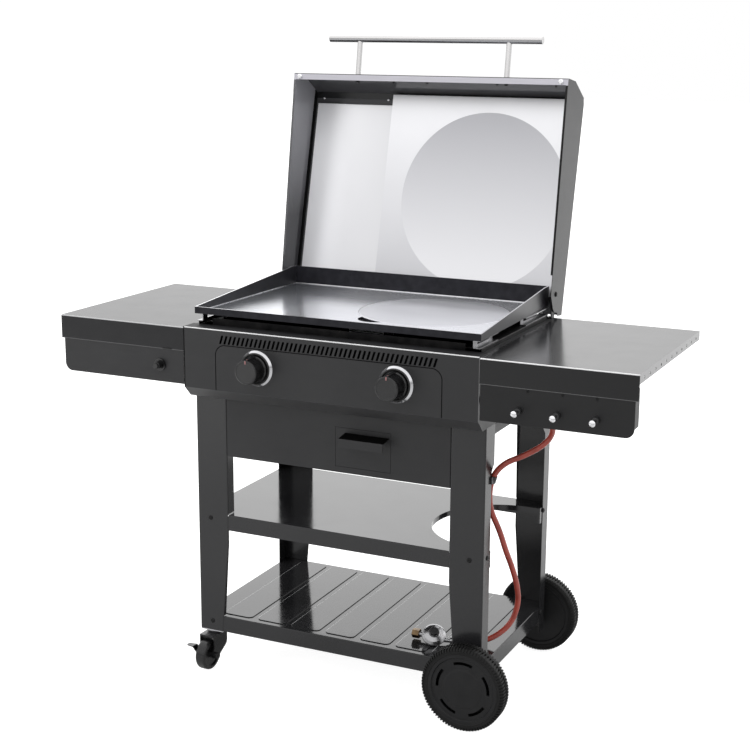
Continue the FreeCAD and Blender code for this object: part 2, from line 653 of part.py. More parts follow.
def knob(x):
    """A flared knob with a fluted grip, a raised pointer and a dished face."""
    back = BEZEL_DEPTH - 3
    front = KNOB_REACH
    profile = [
        (0, back), (KNOB_R + 3, back), (KNOB_R + 3, back + 5, 2.0), (KNOB_R, back + 9, 2.0),
        (KNOB_R, front - 2, 1.5), (KNOB_R - 3, front, 1.0), (KNOB_R - 5, front - 1), (0, front - 1),
    ]
    body = spun(profile, (x, 0, KNOB_Z), (0, -1, 0))
    count, flute = 36, 1.1
    cuts = []
    for i in range(count):
        angle = 2 * math.pi * i / count
        cx, cz = x + (KNOB_R + 0.3) * math.sin(angle), KNOB_Z + (KNOB_R + 0.3) * math.cos(angle)
        cuts.append(rod((cx, -(front - 4), cz), (cx, -(back + 12), cz), flute))
    body = body.cut(Part.makeCompound(cuts))
    z = KNOB_Z + KNOB_R
    ridge = [(-front + 1.5, z - 6), (-front + 1.5, z + 1, 1.0), (-back - 6, z + 2.5, 1.0), (-back - 3, z - 6)]
    body = body.fuse(prism("yz", ridge, x - 5, x + 5)).removeSplitter()
    return body.cut(rod((x, 0, KNOB_Z), (x, -(front - 14), KNOB_Z), STEM_R))


def knobs():
    for name, side in (("left", -1), ("right", 1)):
        x = side * KNOB_X
        save("knob_" + name, knob(x))
        stem = rod((x, -(KNOB_REACH - 14), KNOB_Z), (x, MANIFOLD_Y + 3, KNOB_Z), STEM_R)
        save("valve_stem_" + name, stem)
        collar = tube((x, PLATE + 3, KNOB_Z), (x, PLATE + 6, KNOB_Z), STEM_R + 2.5, STEM_R + FIT)
        save("stem_collar_" + name, collar)


# ---- griddle ------------------------------------------------------------------------------------
def griddle_plan(inset, z0, z1):
    """The griddle's outline, which narrows a little towards the back, as a prism."""
    front, back = GRIDDLE_HALF - inset, GRIDDLE_HALF_BACK - inset
    y0, y1 = GRIDDLE_FRONT + inset, GRIDDLE_BACK - inset
    return prism("xy", [(-front, y0), (front, y0), (back, y1), (-back, y1)], z0, z1)


def griddle():
    """The cooking plate: a welded pan with a low front lip, side walls that rise to the back, a round
    opening with a ledge for the insert, and a lens-shaped drain beside it."""
    pan = griddle_plan(0, GRIDDLE_UNDER, GRIDDLE_RISE)
    pan = pan.cut(griddle_plan(GRIDDLE_WALL, GRIDDLE_FLOOR, GRIDDLE_RISE + 1))
    flat = 30.0
    above = [
        (GRIDDLE_FRONT - 1, GRIDDLE_LIP), (GRIDDLE_FRONT + GRIDDLE_WALL, GRIDDLE_LIP),
        (GRIDDLE_BACK - flat, GRIDDLE_RISE), (GRIDDLE_BACK - flat, GRIDDLE_RISE + 5),
        (GRIDDLE_FRONT - 1, GRIDDLE_RISE + 5),
    ]
    pan = pan.cut(prism("yz", above, -GRIDDLE_HALF - 1, GRIDDLE_HALF + 1))
    x, y, hole = INSERT_X, INSERT_Y, INSERT_R + INSERT_GAP
    z = GRIDDLE_UNDER
    under = GRIDDLE_FLOOR - INSERT_THICK - RUN
    ledge = Part.makeCylinder(hole + 8, z - under + 2, V(x, y, under - 2))
    ledge = ledge.cut(Part.makeCylinder(hole - 10, 20, V(x, y, under - 10)))
    ledge = ledge.cut(Part.makeCylinder(hole, 20, V(x, y, under)))
    pan = pan.cut(Part.makeCylinder(hole, 20, V(x, y, z - 5))).fuse(ledge)
    drain = Part.makeCylinder(DRAIN_R, 30, V(DRAIN_X, DRAIN_Y, z - 10))
    drain = drain.cut(Part.makeCylinder(hole + DRAIN_LAND, 30, V(x, y, z - 10)))
    ledge_clear = Part.makeCylinder(hole + DRAIN_LAND + 0.1, 30, V(x, y, z - 10))
    drain = drain.cut(ledge_clear)
    save("griddle_plate", pan.cut(drain).removeSplitter())
    insert = Part.makeCylinder(INSERT_R, INSERT_THICK, V(x, y, GRIDDLE_FLOOR - INSERT_THICK))
    top = [e for e in insert.Edges if e.BoundBox.ZMin > GRIDDLE_FLOOR - 0.01 and len(e.Vertexes) == 1]
    save("round_insert", insert.makeChamfer(0.6, top))


def griddle_feet():
    """Four folded C-brackets under the side walls, slotted along the web and the top."""
    feet = []
    thick = 2.0
    top, low = GRIDDLE_UNDER, SILL + RUN
    for y0, y1 in ((GRIDDLE_FRONT + 4, GRIDDLE_FRONT + 114), (GRIDDLE_BACK - 180, GRIDDLE_BACK - 24)):
        outer = SILL_HALF - 1.0
        inner = outer - 16.0
        bracket = folded("xz", [(outer, top), (inner, top), (inner, low), (outer, low)], thick, y0, y1)
        slot = box(inner - 1, inner + 4, y0 + 20, y1 - 20, low + 6, top - 6)
        bracket = bracket.cut(slot)
        feet += [bracket, mirror_x(bracket)]
    save("griddle_feet", *feet)


def grease_chute():
    high, low = GRIDDLE_UNDER - 4, DRAWER_Z[1] - 7
    outside = Part.makeLoft([chute_outline(low), chute_outline(high)], True)
    inside = Part.makeLoft([chute_outline(low - 1, -SHEET), chute_outline(high + 1, -SHEET)], True)
    z = FIREBOX_FLOOR + SHEET + SEAT
    flange = Part.Face(chute_outline(z, 8.0)).extrude(V(0, 0, SHEET))
    save("grease_chute", outside.fuse(flange).cut(inside).removeSplitter())


# ---- lid ----------------------------------------------------------------------------------------
def lid_side_outline():
    """The lid's side in its closed frame: (y, z) with the hinge at the origin and the front at -Y."""
    tail = skin(LID_TAIL)
    return [
        (4, LID_MOUTH, 20.0), (43, -9, 30.0), (45, 20), (53, 24), (-LID_TAIL, tail, 3.0),
        (-LID_BREAK, skin(LID_BREAK), 12.0), (-LID_CORNER[0], LID_CORNER[1], 6.0),
        (-LID_REACH, LID_FRONT_TOP, 4.0), (-LID_REACH, LID_MOUTH),
    ]


def lid_shell():
    """The lid: a wrapped skin with a sloping front, two side plates hemmed at the mouth, and a rim."""
    outline = lid_side_outline()
    side = prism("yz", outline, LID_HALF - SHEET, LID_HALF)
    side = side.cut(rod((LID_HALF - 5, 0, 0), (LID_HALF + 5, 0, 0), PIN_R + FIT))
    run = [
        (-LID_REACH + LID_RIM, LID_MOUTH), (-LID_REACH, LID_MOUTH), (-LID_REACH, LID_FRONT_TOP),
        (-LID_CORNER[0], LID_CORNER[1]), (-LID_BREAK, skin(LID_BREAK)), (-LID_TAIL, skin(LID_TAIL)),
    ]
    wrap = folded("yz", run[::-1], SHEET, -LID_HALF, LID_HALF, 3.0)
    hem = box(
        LID_HALF - LID_HEM, LID_HALF - SHEET / 2, -LID_REACH + LID_RIM, -45, LID_MOUTH, LID_MOUTH + SHEET
    )
    pieces = [side, mirror_x(side), hem, mirror_x(hem)]
    shell = wrap.fuse(pieces).removeSplitter()
    holes = [
        rod((s * POST_X, -LID_REACH - 5, HANDLE_LEVEL), (s * POST_X, -LID_REACH + 5, HANDLE_LEVEL), 3.2)
        for s in (-1, 1)
    ]
    save("lid_shell", open_lid(shell.cut(Part.makeCompound(holes))))


def liner_plane(shape, level):
    """Lays a liner that was drawn flat, with a along -Y and its face down, parallel to the skin."""
    shape = shape.copy()
    shape.rotate(V(0, 0, 0), V(1, 0, 0), -math.degrees(math.atan(LID_SKIN_SLOPE)))
    shape.translate(V(0, 0, level))
    return open_lid(shape)


def liner(x0, x1, low, top, level, up_top):
    """A bright sheet turned up at both ends; the lower end reaches the skin."""
    up = LID_SKIN - SHEET - SEAT - level
    bends = [(-low, up), (-low, 0), (-top, 0), (-top, up_top or up)]
    return folded("yz", bends[::-1], LINER, x0, x1, 1.5)


def liners():
    left = liner(LINER_LEFT, LINER_SPLIT + 20, LINER_LOW + 4, LINER_LEFT_TOP, LINER_LEFT_LEVEL, 0)
    save("lid_liner_left", liner_plane(left, LINER_LEFT_LEVEL))
    sheet = liner(LINER_SPLIT, LINER_RIGHT, LINER_LOW, LINER_TOP, LINER_LEVEL, 8.0)
    side = box(LINER_SPLIT, LINER_SPLIT + LINER, -LINER_TOP + 2, -LINER_LOW - 2, 0, 6)
    sheet = sheet.fuse(side)
    rim = Part.makeCylinder(DISH_R, DISH_DEPTH + 5, V(DISH_X, -DISH_A, -2))
    round_ = (DISH_R ** 2 + DISH_DEPTH ** 2) / (2 * DISH_DEPTH)
    below = Part.makeSphere(round_, V(DISH_X, -DISH_A, DISH_DEPTH - round_))
    above = Part.makeSphere(round_, V(DISH_X, -DISH_A, DISH_DEPTH + LINER - round_))
    blank = Part.makeCylinder(DISH_R, DISH_DEPTH + 5, V(DISH_X, -DISH_A, 0))
    dish = blank.common(above).cut(below)
    save("lid_liner_right", liner_plane(sheet.cut(rim).fuse(dish).removeSplitter(), LINER_LEVEL))


def lid_fittings():
    y, z = -HANDLE_REACH, HANDLE_LEVEL
    bar = rod((-HANDLE_HALF, y, z), (HANDLE_HALF, y, z), HANDLE_R)
    ends = [e for e in bar.Edges if len(e.Vertexes) == 1 and e.BoundBox.XLength < 0.1]
    bar = bar.makeFillet(1.5, ends)
    posts = [
        rod((s * POST_X, -LID_REACH - SEAT, z), (s * POST_X, y, z), POST_R) for s in (-1, 1)
    ]
    save("lid_handle", open_lid(bar.fuse(posts).removeSplitter()))
    bumpers = []
    for side in (-1, 1):
        centre = (side * BUMPER_X, -LID_REACH + LID_RIM / 2 + 1, LID_MOUTH - 0.01)
        profile = [(0, 0), (BUMPER_R, 0), (BUMPER_R, BUMPER_HIGH, 3.0), (0, BUMPER_HIGH)]
        bumpers.append(spun(profile, centre, (0, 0, -1)))
    save("lid_bumpers", *[open_lid(b) for b in bumpers])


def hinges():
    """A standing bracket at each rear corner of the body, with a bolt through the lid's side."""
    y0, y1 = BODY_BACK - 18, BODY_BACK
    thick = 3.0
    outer = LID_HALF - SHEET - RUN - 2.0
    x = outer - thick
    upright = [
        (y0, BODY_TOP), (y1, BODY_TOP), (y1 + 8, HINGE_Z - 6, 12), (y1 + 8, HINGE_Z + 12, 9),
        (y0 - 6, HINGE_Z + 12, 9), (y0 - 6, HINGE_Z - 12, 12),
    ]
    plate = prism("yz", upright, x, outer)
    foot = box(x - 10, x + 0.5, y0, y1, BODY_TOP, BODY_TOP + thick)
    bore = rod((x - 1, HINGE_Y, HINGE_Z), (outer + 1, HINGE_Y, HINGE_Z), PIN_R)
    bracket = plate.fuse(foot).removeSplitter().cut(bore)
    save("hinge_brackets", bracket, mirror_x(bracket))
    head = LID_HALF + RUN
    inside = x - 6.0
    bolt = rod((inside, HINGE_Y, HINGE_Z), (head, HINGE_Y, HINGE_Z), PIN_R)
    turns = [math.radians(60 * i) for i in range(6)]
    hexagon = [
        (HINGE_Y + HINGE_NUT_R * math.cos(a), HINGE_Z + HINGE_NUT_R * math.sin(a)) for a in turns
    ]
    nut = prism("yz", hexagon, inside + 1, x)
    button = [(0, 0), (6.5, 0), (6.5, 1.2), (4.0, 3.2, 2.0), (0, 3.2)]
    dome = spun(button, (head, HINGE_Y, HINGE_Z), (1, 0, 0))
    pin = bolt.fuse([nut, dome]).removeSplitter()
    save("hinge_pins", pin, mirror_x(pin))


# ---- side shelves -------------------------------------------------------------------------------
def side_shelf():
    """Right-hand shelf: a top folded down on all sides, with two stiffeners beneath."""
    x0, x1, y1 = SHELF_INNER, SHELF_END, SHELF_BACK
    top, edge = BODY_TOP, SHELF_EDGE
    shelf = folded("yz", [(y1, top - edge), (y1, top), (0, top), (0, SHELF_FOLD)], SHEET, x0, x1)
    front, back, high, low = SHEET / 3, y1 - SHEET / 3, top - SHEET / 3, top - edge
    end = prism("yz", [(front, low), (front, high), (back, high), (back, low)], x1 - SHEET, x1)
    inside = [(front, SHELF_FOLD), (front, high), (back, high), (back, low), (CHEEK, low)]
    shelf = shelf.fuse([end, prism("yz", inside, x0, x0 + SHEET)])
    for y in (BODY_BACK / 3, 2 * BODY_BACK / 3):
        hat = folded(
            "yz",
            [(y - 30, top - SHEET), (y - 14, top - SHEET), (y - 14, top - 18), (y + 14, top - 18),
             (y + 14, top - SHEET), (y + 30, top - SHEET)],
            -SHEET, x0 + SHEET, x1 - SHEET, 1.5,
        )
        shelf = shelf.fuse(hat)
    z, pitch = top - HOLE_DROP, y1 / (HOLE_COUNT + 0.6)
    holes = [
        rod((x1 - 5, y, z), (x1 + 5, y, z), HOLE_R) for y in (pitch * (i + 0.8) for i in range(HOLE_COUNT))
    ]
    return shelf.removeSplitter().cut(Part.makeCompound(holes))


def shelf_front():
    """Panel that hangs below a shelf's front fold, with a rounded outer corner and an end return."""
    x0, x1 = SHELF_INNER + SHEET + SEAT, SHELF_END - 7
    y, top = SHEET + SEAT, SHELF_FOLD + 22
    outline = [(x0, APRON_LOW), (x1, APRON_LOW, APRON_CORNER), (x1, top), (x0, top)]
    panel = prism("xz", outline, y, y + SHEET)
    returned = box(x1 - SHEET, x1, y, y + APRON_RETURN, APRON_LOW + APRON_CORNER, top)
    return panel.fuse(returned).removeSplitter()


def shelves():
    shelf = side_shelf()
    save("side_shelf_right", shelf)
    save("side_shelf_left", mirror_x(shelf))
    front = shelf_front()
    y = SHEET + SEAT
    pegs = [rod((x, y - 1, HOOK_Z), (x, y + 3, HOOK_Z), 3.0) for x in HOOK_X]
    save("shelf_front_right", front.cut(Part.makeCompound(pegs)))
    igniter_hole = rod((IGNITER_X, y - 1, IGNITER_Z), (IGNITER_X, y + 3, IGNITER_Z), 11.0)
    save("shelf_front_left", mirror_x(front).cut(igniter_hole))


def hooks():
    """Utensil pegs: a threaded pin through the panel, a neck, and a ball that things hang behind."""
    y = SHEET + SEAT
    pegs = []
    for x in HOOK_X:
        peg = rod((x, y + 6, HOOK_Z), (x, -30, HOOK_Z), 3.0)
        collar = spun([(0, 0), (6, 0), (6, 1.5), (3.5, 4), (0, 4)], (x, y - 0.02, HOOK_Z), (0, -1, 0))
        nut = rod((x, y + SHEET + 0.02, HOOK_Z), (x, y + SHEET + 4, HOOK_Z), 5.5)
        ball = Part.makeSphere(HOOK_BALL_R, V(x, -28, HOOK_Z))
        pegs.append(peg.fuse([collar, nut, ball]).removeSplitter())
    save("utensil_hooks", *pegs)


def igniter():
    x, z = IGNITER_X, IGNITER_Z
    y = SHEET + SEAT
    barrel = tube((x, -6, z), (x, 34, z), 10.8, 8.6)
    flange = tube((x, y - 4, z), (x, y - 0.02, z), 15.0, 8.6)
    nut = tube((x, y + SHEET + 0.02, z), (x, y + SHEET + 5, z), 14.0, 10.5)
    floor = rod((x, 32, z), (x, 34, z), 10.0)
    save("igniter_housing", barrel.fuse([flange, nut, floor]).removeSplitter())
    button = spun(
        [(0, -14), (8.3, -14), (8.3, 12), (6.8, 13), (6.8, 18, 1.5), (0, 18)], (x, -3, z), (0, -1, 0)
    )
    save("igniter_button", button)


# ---- grease drawer ------------------------------------------------------------------------------
def drawer():
    """Front with a folded pull, the tray behind it, and the rails that it slides in."""
    x0, x1 = DRAWER_X
    z0, z1 = DRAWER_Z
    y = LEG_FRONT
    face = box(x0, x1, y, y + SHEET, z0, z1)
    hood = [(y + SHEET / 2, PULL_Z), (y - PULL_REACH, PULL_Z - 5), (y - PULL_REACH, PULL_Z - 25)]
    pull = folded("yz", hood[::-1], -SHEET, PULL_X[0], PULL_X[1], 1.5)
    save("drawer_front", face.fuse(pull).removeSplitter())
    tx0, tx1, ty0, ty1 = x0 + 7, x1 - 7, y + SHEET, y + SHEET + DRAWER_DEPTH
    tz0, tz1 = z0 + 8, z1 - 26
    tray_ = box(tx0, tx1, ty0, ty1, tz0, tz1)
    hollow = box(tx0 + SHEET, tx1 - SHEET, ty0 + SHEET, ty1 - SHEET, tz0 + SHEET, tz1 + 1)
    save("grease_drawer", tray_.cut(hollow))
    low, high, out, ledge, lip = tz0 - RUN - SHEET, LEG_TOP + PLATE, 2.5, 13.0, 10.0
    right = [(tx1 + out - ledge, low), (tx1 + out, low), (tx1 + out, high), (tx1 + out - lip, high)]
    left = [(tx0 - out + ledge, low), (tx0 - out, low), (tx0 - out, high), (tx0 - out + lip, high)]
    rails = [
        folded("xz", run, SHEET * sign, y + 2 * SHEET, ty1 + 15) for run, sign in ((right, 1), (left, -1))
    ]
    save("drawer_guide", *rails)


# ---- wheels and castors -------------------------------------------------------------------------
def wheels():
    """Two plastic wheels with rubber tyres on a fixed axle that ends inside them; the hubs are hollow, with
    curved slots in a closed face."""
    for name, y, way in (("front", FRONT_WHEEL_Y, -1), ("rear", REAR_WHEEL_Y, 1)):
        half = WHEEL_WIDTH / 2
        centre = (WHEEL_X, y, WHEEL_R)
        bore = AXLE_R + FIT
        rim, dish, wall, blind = half - 2, half - 5, half - 8, half - AXLE_SHORT
        profile = [
            (bore, -half), (16, -half), (16, -dish), (HUB_R - 9, -dish), (HUB_R - 7, -rim),
            (HUB_R, -rim), (HUB_R, rim), (HUB_R - 7, rim), (HUB_R - 9, dish),
            (FACE_R + 5, dish), (FACE_R, dish + 1.5, 8.0), (0, dish + 1.5), (0, blind), (bore, blind),
        ]
        hub = spun(profile, centre, (0, way, 0))
        inside = [(18, -wall), (HUB_R - 5, -wall), (HUB_R - 5, wall), (18, wall)]
        hollow = spun(inside, centre, (0, way, 0))
        channel = [(SLOT_IN, 0), (SLOT_OUT, 0), (SLOT_OUT, half + 1), (SLOT_IN, half + 1)]
        slots = []
        for i in range(HUB_SLOTS):
            wedge = Part.makeCylinder(HUB_R, 2 * half, V(WHEEL_X, y - half, WHEEL_R), V(0, 1, 0), SLOT_SWEEP)
            wedge.rotate(V(*centre), V(0, 1, 0), i * 360 / HUB_SLOTS - SLOT_SWEEP / 2)
            slots.append(spun(channel, centre, (0, way, 0)).common(wedge))
        save("wheel_hub_" + name, hub.cut(hollow).cut(Part.makeCompound(slots)))
        tyre = [
            (HUB_R, -half + 2), (HUB_R + 4, -half), (WHEEL_R, -half, 6.0), (WHEEL_R, half, 6.0),
            (HUB_R + 4, half), (HUB_R, half - 2),
        ]
        save("wheel_tyre_" + name, spun(tyre, centre, (0, way, 0)))
    reach = WHEEL_WIDTH / 2 - AXLE_SHORT - RUN
    x, z = WHEEL_X, WHEEL_R
    axle = rod((x, FRONT_WHEEL_Y - reach, z), (x, REAR_WHEEL_Y + reach, z), AXLE_R)
    spacer = WHEEL_GAP - 2 * RUN
    collars = [
        rod((x, LEG_FRONT - SEAT, z), (x, LEG_FRONT - spacer, z), AXLE_R + 5),
        rod((x, LEG_REAR + SEAT, z), (x, LEG_REAR + spacer, z), AXLE_R + 5),
    ]
    save("wheel_axle", axle.fuse(collars).removeSplitter())


def castors():
    """Two swivel castors with side brakes under the left legs."""
    plates = []
    x, top, low = CASTOR_X, CASTOR_LEG, CASTOR_LEG - FORK_SHEET
    drop, crown_low = low - FORK_TOP - RUN, FORK_TOP - FORK_SHEET
    for name, y in zip(("front", "rear"), CASTOR_Y):
        y0, y1 = LEG_FRONT + PLATE, LEG_FRONT + CASTOR_INSET + CASTOR_SEAT
        seat = box(-INNER_HALF, -HALF + LEG_FOOT - PLATE, y0, y1, low, top)
        seat = seat if name == "front" else mirror_y(seat)
        race = [(0, 0), (RACE_R, 0), (RACE_R, 4), (RACE_R - 3, drop), (0, drop)]
        boss = spun(race, (x, y, low), (0, 0, -1))
        pin = rod((x, y, low), (x, y, crown_low - NUT_HIGH), CASTOR_PIN_R)
        head = rod((x, y, crown_low - RUN), (x, y, crown_low - NUT_HIGH), NUT_R)
        plates.append(seat.fuse([boss, pin, head]).removeSplitter())
        for kind, shape in (("fork", fork()), ("wheel", castor_wheel()), ("brake", brake())):
            shape.rotate(V(0, 0, 0), V(0, 0, 1), -CASTOR_TURN)
            shape.translate(V(x, y, 0))
            save("castor_" + kind + "_" + name, shape)
    save("castor_plates", *plates)


def fork():
    """Two swept cheeks under a crown, with the wheel's bolt; the brake turns on the bolt's left end.
    Its swivel axis is the line x = y = 0."""
    inner, thick, top = FORK_INNER, FORK_SHEET, FORK_TOP
    outer, trail, axle = inner + thick, CASTOR_TRAIL, CASTOR_R
    plan = [(-outer, -trail - 3), (outer, -trail - 3), (outer, 18, 15), (-outer, 18, 15)]
    crown = prism("xy", plan, top - thick, top)
    side = [
        (4, top), (-trail - 3, top), (-trail - 3, axle + 18, 6), (-trail - 9, axle + 9, 8),
        (-trail - 9, axle - 9, 8), (-trail + 12, axle - 9, 8), (18, axle + 16, 16), (18, top - 6, 5.9),
    ]
    cheek = prism("yz", side, inner, outer)
    body = crown.fuse([cheek, mirror_x(cheek)]).removeSplitter()
    body = body.cut(rod((0, 0, top - 10), (0, 0, top + 1), CASTOR_PIN_R + FIT))
    left = outer + BRAKE_SHEET + 2 * RUN
    bolt = rod((-left - NUT_HIGH, -trail, axle), (outer + BOLT_HEAD + 1, -trail, axle), CASTOR_BOLT_R)
    nuts = [
        rod((-left, -trail, axle), (-left - NUT_HIGH, -trail, axle), NUT_R),
        rod((outer, -trail, axle), (outer + BOLT_HEAD, -trail, axle), NUT_R),
    ]
    return body.fuse([bolt] + nuts).removeSplitter()


def castor_wheel():
    """Its hub reaches out to the fork's cheeks."""
    half, hub, bore = CASTOR_WIDTH / 2, FORK_INNER - RUN, CASTOR_BOLT_R + FIT
    r = CASTOR_R
    profile = [
        (bore, -hub), (8, -hub), (8, -half + 3), (r - 11, -half + 3), (r - 10, -half), (r, -half, 6.0),
        (r, half, 6.0), (r - 10, half), (r - 11, half - 3), (8, half - 3), (8, hub), (bore, hub),
    ]
    return spun(profile, (0, -CASTOR_TRAIL, r), (1, 0, 0))


def brake():
    """A toe lever on the left end of the wheel's bolt: an arm with a plate turned outwards."""
    y, z = -CASTOR_TRAIL, CASTOR_R
    x = -FORK_INNER - FORK_SHEET - RUN
    high, reach = z + BRAKE_HIGH, x - BRAKE_TOE
    arm = [(y - 8, z - 8, 7), (y + 8, z - 8, 7), (y + 8, z + 5, 7), (y - 15, high), (y - 34, high)]
    lever = prism("yz", arm, x - BRAKE_SHEET, x)
    plate = [(reach, y - 31, 4), (x, y - 34), (x, y - 15), (reach, y - 19, 4)]
    toe = prism("xy", plate, high - BRAKE_SHEET, high)
    lever = lever.fuse(toe).removeSplitter()
    return lever.cut(rod((x - 9, y, z), (x + 1, y, z), CASTOR_BOLT_R + FIT))


# ---- gas hose and regulator ---------------------------------------------------------------------
def bend_radius(before, point, after):
    """The largest arc that the runs on either side of a corner leave room for."""
    turn = math.pi - (before - point).getAngle(after - point)
    short = min(before.distanceToPoint(point), after.distanceToPoint(point))
    return 0.45 * short / math.tan(turn / 2)


def hose_path():
    """The hose's line: straight runs joined by tangent arcs."""
    points = [V(*p) for p in HOSE_POINTS]
    corners = [(points[0], 0)]
    for before, point, after in zip(points, points[1:], points[2:]):
        radius = bend_radius(before, point, after)
        print("hose bend radius", round(radius))
        corners.append((point, radius))
    corners.append((points[-1], 0))
    return run_of_edges(corners, False)


def hose():
    path = hose_path()
    start = path.Edges[0]
    way = start.tangentAt(start.FirstParameter)
    section = Part.Wire(Part.makeCircle(HOSE_R, V(*HOSE_POINTS[0]), way))
    swept = path.makePipeShell([section], True, True)
    area = math.pi * HOSE_R ** 2
    print("hose length", round(path.Length), "volume over section", round(swept.Volume / area))
    save("gas_hose", swept)


def hose_clip():
    """A clip on the edge of the front right leg's outer flange, closed round the hose."""
    before, point, after = [V(*p) for p in HOSE_POINTS[CLIP_BEND - 1:CLIP_BEND + 2]]
    way = (after - before).normalize()
    inward = ((before - point).normalize() + (after - point).normalize()).normalize()
    half = (before - point).getAngle(after - point) / 2
    radius = bend_radius(before, point, after)
    centre = point + inward * (radius / math.sin(half) - radius)
    edge = LEG_FRONT + LEG_SIDE
    jaw = box(HALF - PLATE - 4, HALF + 4, edge - 8, centre.y, centre.z - 8, centre.z + 8)
    body = rod(tuple(centre - way * 8), tuple(centre + way * 8), HOSE_R + 3.5).fuse(jaw)
    grip = box(HALF - PLATE - SEAT, HALF + SEAT, edge - 20, edge + SEAT, centre.z - 20, centre.z + 20)
    reach = way * 40
    bore = rod(tuple(centre - reach), tuple(centre + reach), HOSE_R + 4 * RUN)
    return body.cut(grip).cut(bore)


def regulator():
    """A low-pressure regulator tipped on its rim: a domed housing, a union nut and a hose tail."""
    r, lean = REGULATOR_R, V(*REGULATOR_LEAN).normalize()
    middle = V(*REGULATOR)
    profile = [
        (0, -14), (11, -14), (15, -11, 2.0), (19, -5), (r - 1, -2), (r, -1), (r, 1), (r - 1, 2.5),
        (r - 6, 7.5, 5.0), (12.5, 12, 2.0), (12.5, 15), (0, 15),
    ]
    housing = spun(profile, tuple(middle), tuple(lean))
    neck = middle - lean * NECK_DROP
    tip = V(*HOSE_POINTS[-1])
    along = (V(*HOSE_POINTS[-2]) - tip).normalize()
    tail = rod(tuple(tip - along * 35), tuple(tip), 5.0)
    ferrule = rod(tuple(tip - along * 9), tuple(tip), 9.0)
    x1 = middle.x - r - 9
    stub = rod((neck.x, neck.y, neck.z), (x1, neck.y, neck.z), 6.5)
    save("regulator", housing.fuse([tail, ferrule, stub]).removeSplitter())
    turns = [math.radians(60 * i) for i in range(6)]
    hexagon = [(neck.y + UNION_R * math.cos(a), neck.z + UNION_R * math.sin(a)) for a in turns]
    nut = prism("yz", hexagon, x1 - UNION_LENGTH, x1)
    mouth = rod((x1 - UNION_LENGTH - 1, neck.y, neck.z), (x1 - 4, neck.y, neck.z), UNION_BORE)
    save("regulator_nut", nut.cut(mouth))


legs()
mid_shelf()
low_shelf()
skirt()
top_rails()
control_panel()
body_shell()
heat_shield()
firebox()
burners()
manifold()
bezels()
knobs()
griddle()
griddle_feet()
grease_chute()
lid_shell()
liners()
lid_fittings()
hinges()
shelves()
hooks()
igniter()
drawer()
wheels()
castors()
hose()
save("hose_clip", hose_clip())
regulator()
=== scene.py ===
# %% [markdown]
# # An outdoor gas griddle station
#
# This lesson dresses a finished CAD model so that it looks like the real thing: painted steel, brushed
# steel, moulded plastic, rubber and a soft gas hose. The CAD parts stay exactly where they are. Blender
# adds what CAD leaves out: finishes, screws, tyre treads and the way a hose bends.
#
# Sizes are in metres. X points to the right of the station, Y to its back and Z up from the floor.

import math

import bmesh
import bpy
from mathutils import Matrix, Vector


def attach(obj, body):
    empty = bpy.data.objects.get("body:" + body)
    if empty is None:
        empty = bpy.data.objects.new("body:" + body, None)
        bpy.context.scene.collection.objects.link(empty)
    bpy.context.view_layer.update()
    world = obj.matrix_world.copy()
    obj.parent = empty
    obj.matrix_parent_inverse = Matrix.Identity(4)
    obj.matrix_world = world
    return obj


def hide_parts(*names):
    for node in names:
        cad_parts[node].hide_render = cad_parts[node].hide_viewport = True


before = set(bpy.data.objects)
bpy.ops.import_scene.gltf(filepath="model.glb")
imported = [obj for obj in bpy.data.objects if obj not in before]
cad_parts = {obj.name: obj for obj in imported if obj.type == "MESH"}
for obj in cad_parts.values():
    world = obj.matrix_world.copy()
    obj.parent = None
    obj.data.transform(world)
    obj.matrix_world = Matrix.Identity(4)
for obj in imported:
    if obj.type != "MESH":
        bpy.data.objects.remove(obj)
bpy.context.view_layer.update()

# %% [markdown]
# ## The camera
#
# A long lens at standing height keeps upright edges nearly parallel. The camera stands in front of the
# station's right corner, about three metres away, and looks down a little. Its place is given as a point, a
# heading, a tilt and a small roll, as they are set on a tripod.

# %% Stand the camera on its tripod
PANEL_FACE = -0.30893  # Y of the control panel's face, from which a maker measures everything else

camera_place = (1.4954, -2.8944 + PANEL_FACE, 1.5435)
heading = math.radians(-25.347)
tilt = math.radians(-13.049)
roll = math.radians(0.349)

ahead = Vector((math.sin(heading) * math.cos(tilt), math.cos(heading) * math.cos(tilt), math.sin(tilt)))
level = Vector((math.cos(heading), -math.sin(heading), 0))
raised = level.cross(ahead)
across = level * math.cos(roll) + raised * math.sin(roll)
upward = raised * math.cos(roll) - level * math.sin(roll)

lens = bpy.data.cameras.new("tripod_camera")
lens.sensor_width = 36
lens.lens = 71.81
camera = bpy.data.objects.new("tripod_camera", lens)
bpy.context.scene.collection.objects.link(camera)
rows = [(across[axis], upward[axis], -ahead[axis], camera_place[axis]) for axis in range(3)]
camera.matrix_world = Matrix((*rows, (0, 0, 0, 1)))
bpy.context.scene.camera = camera
print("camera at", tuple(round(v, 3) for v in camera.matrix_world.translation))

# %% [markdown]
# ## The gas hose
#
# The hose is one soft rubber tube. It leaves the nozzle under the right shelf, turns back down behind the
# front leg, runs through a clip there, hangs to the bottom shelf and ends in the regulator. A NURBS curve
# suits it: the curve never passes sharply through its points, just as a stiff tube never kinks. The bevel
# of the curve gives the tube its thickness.
#
# The points are written with Y measured from the control panel's face, as a maker would measure them.

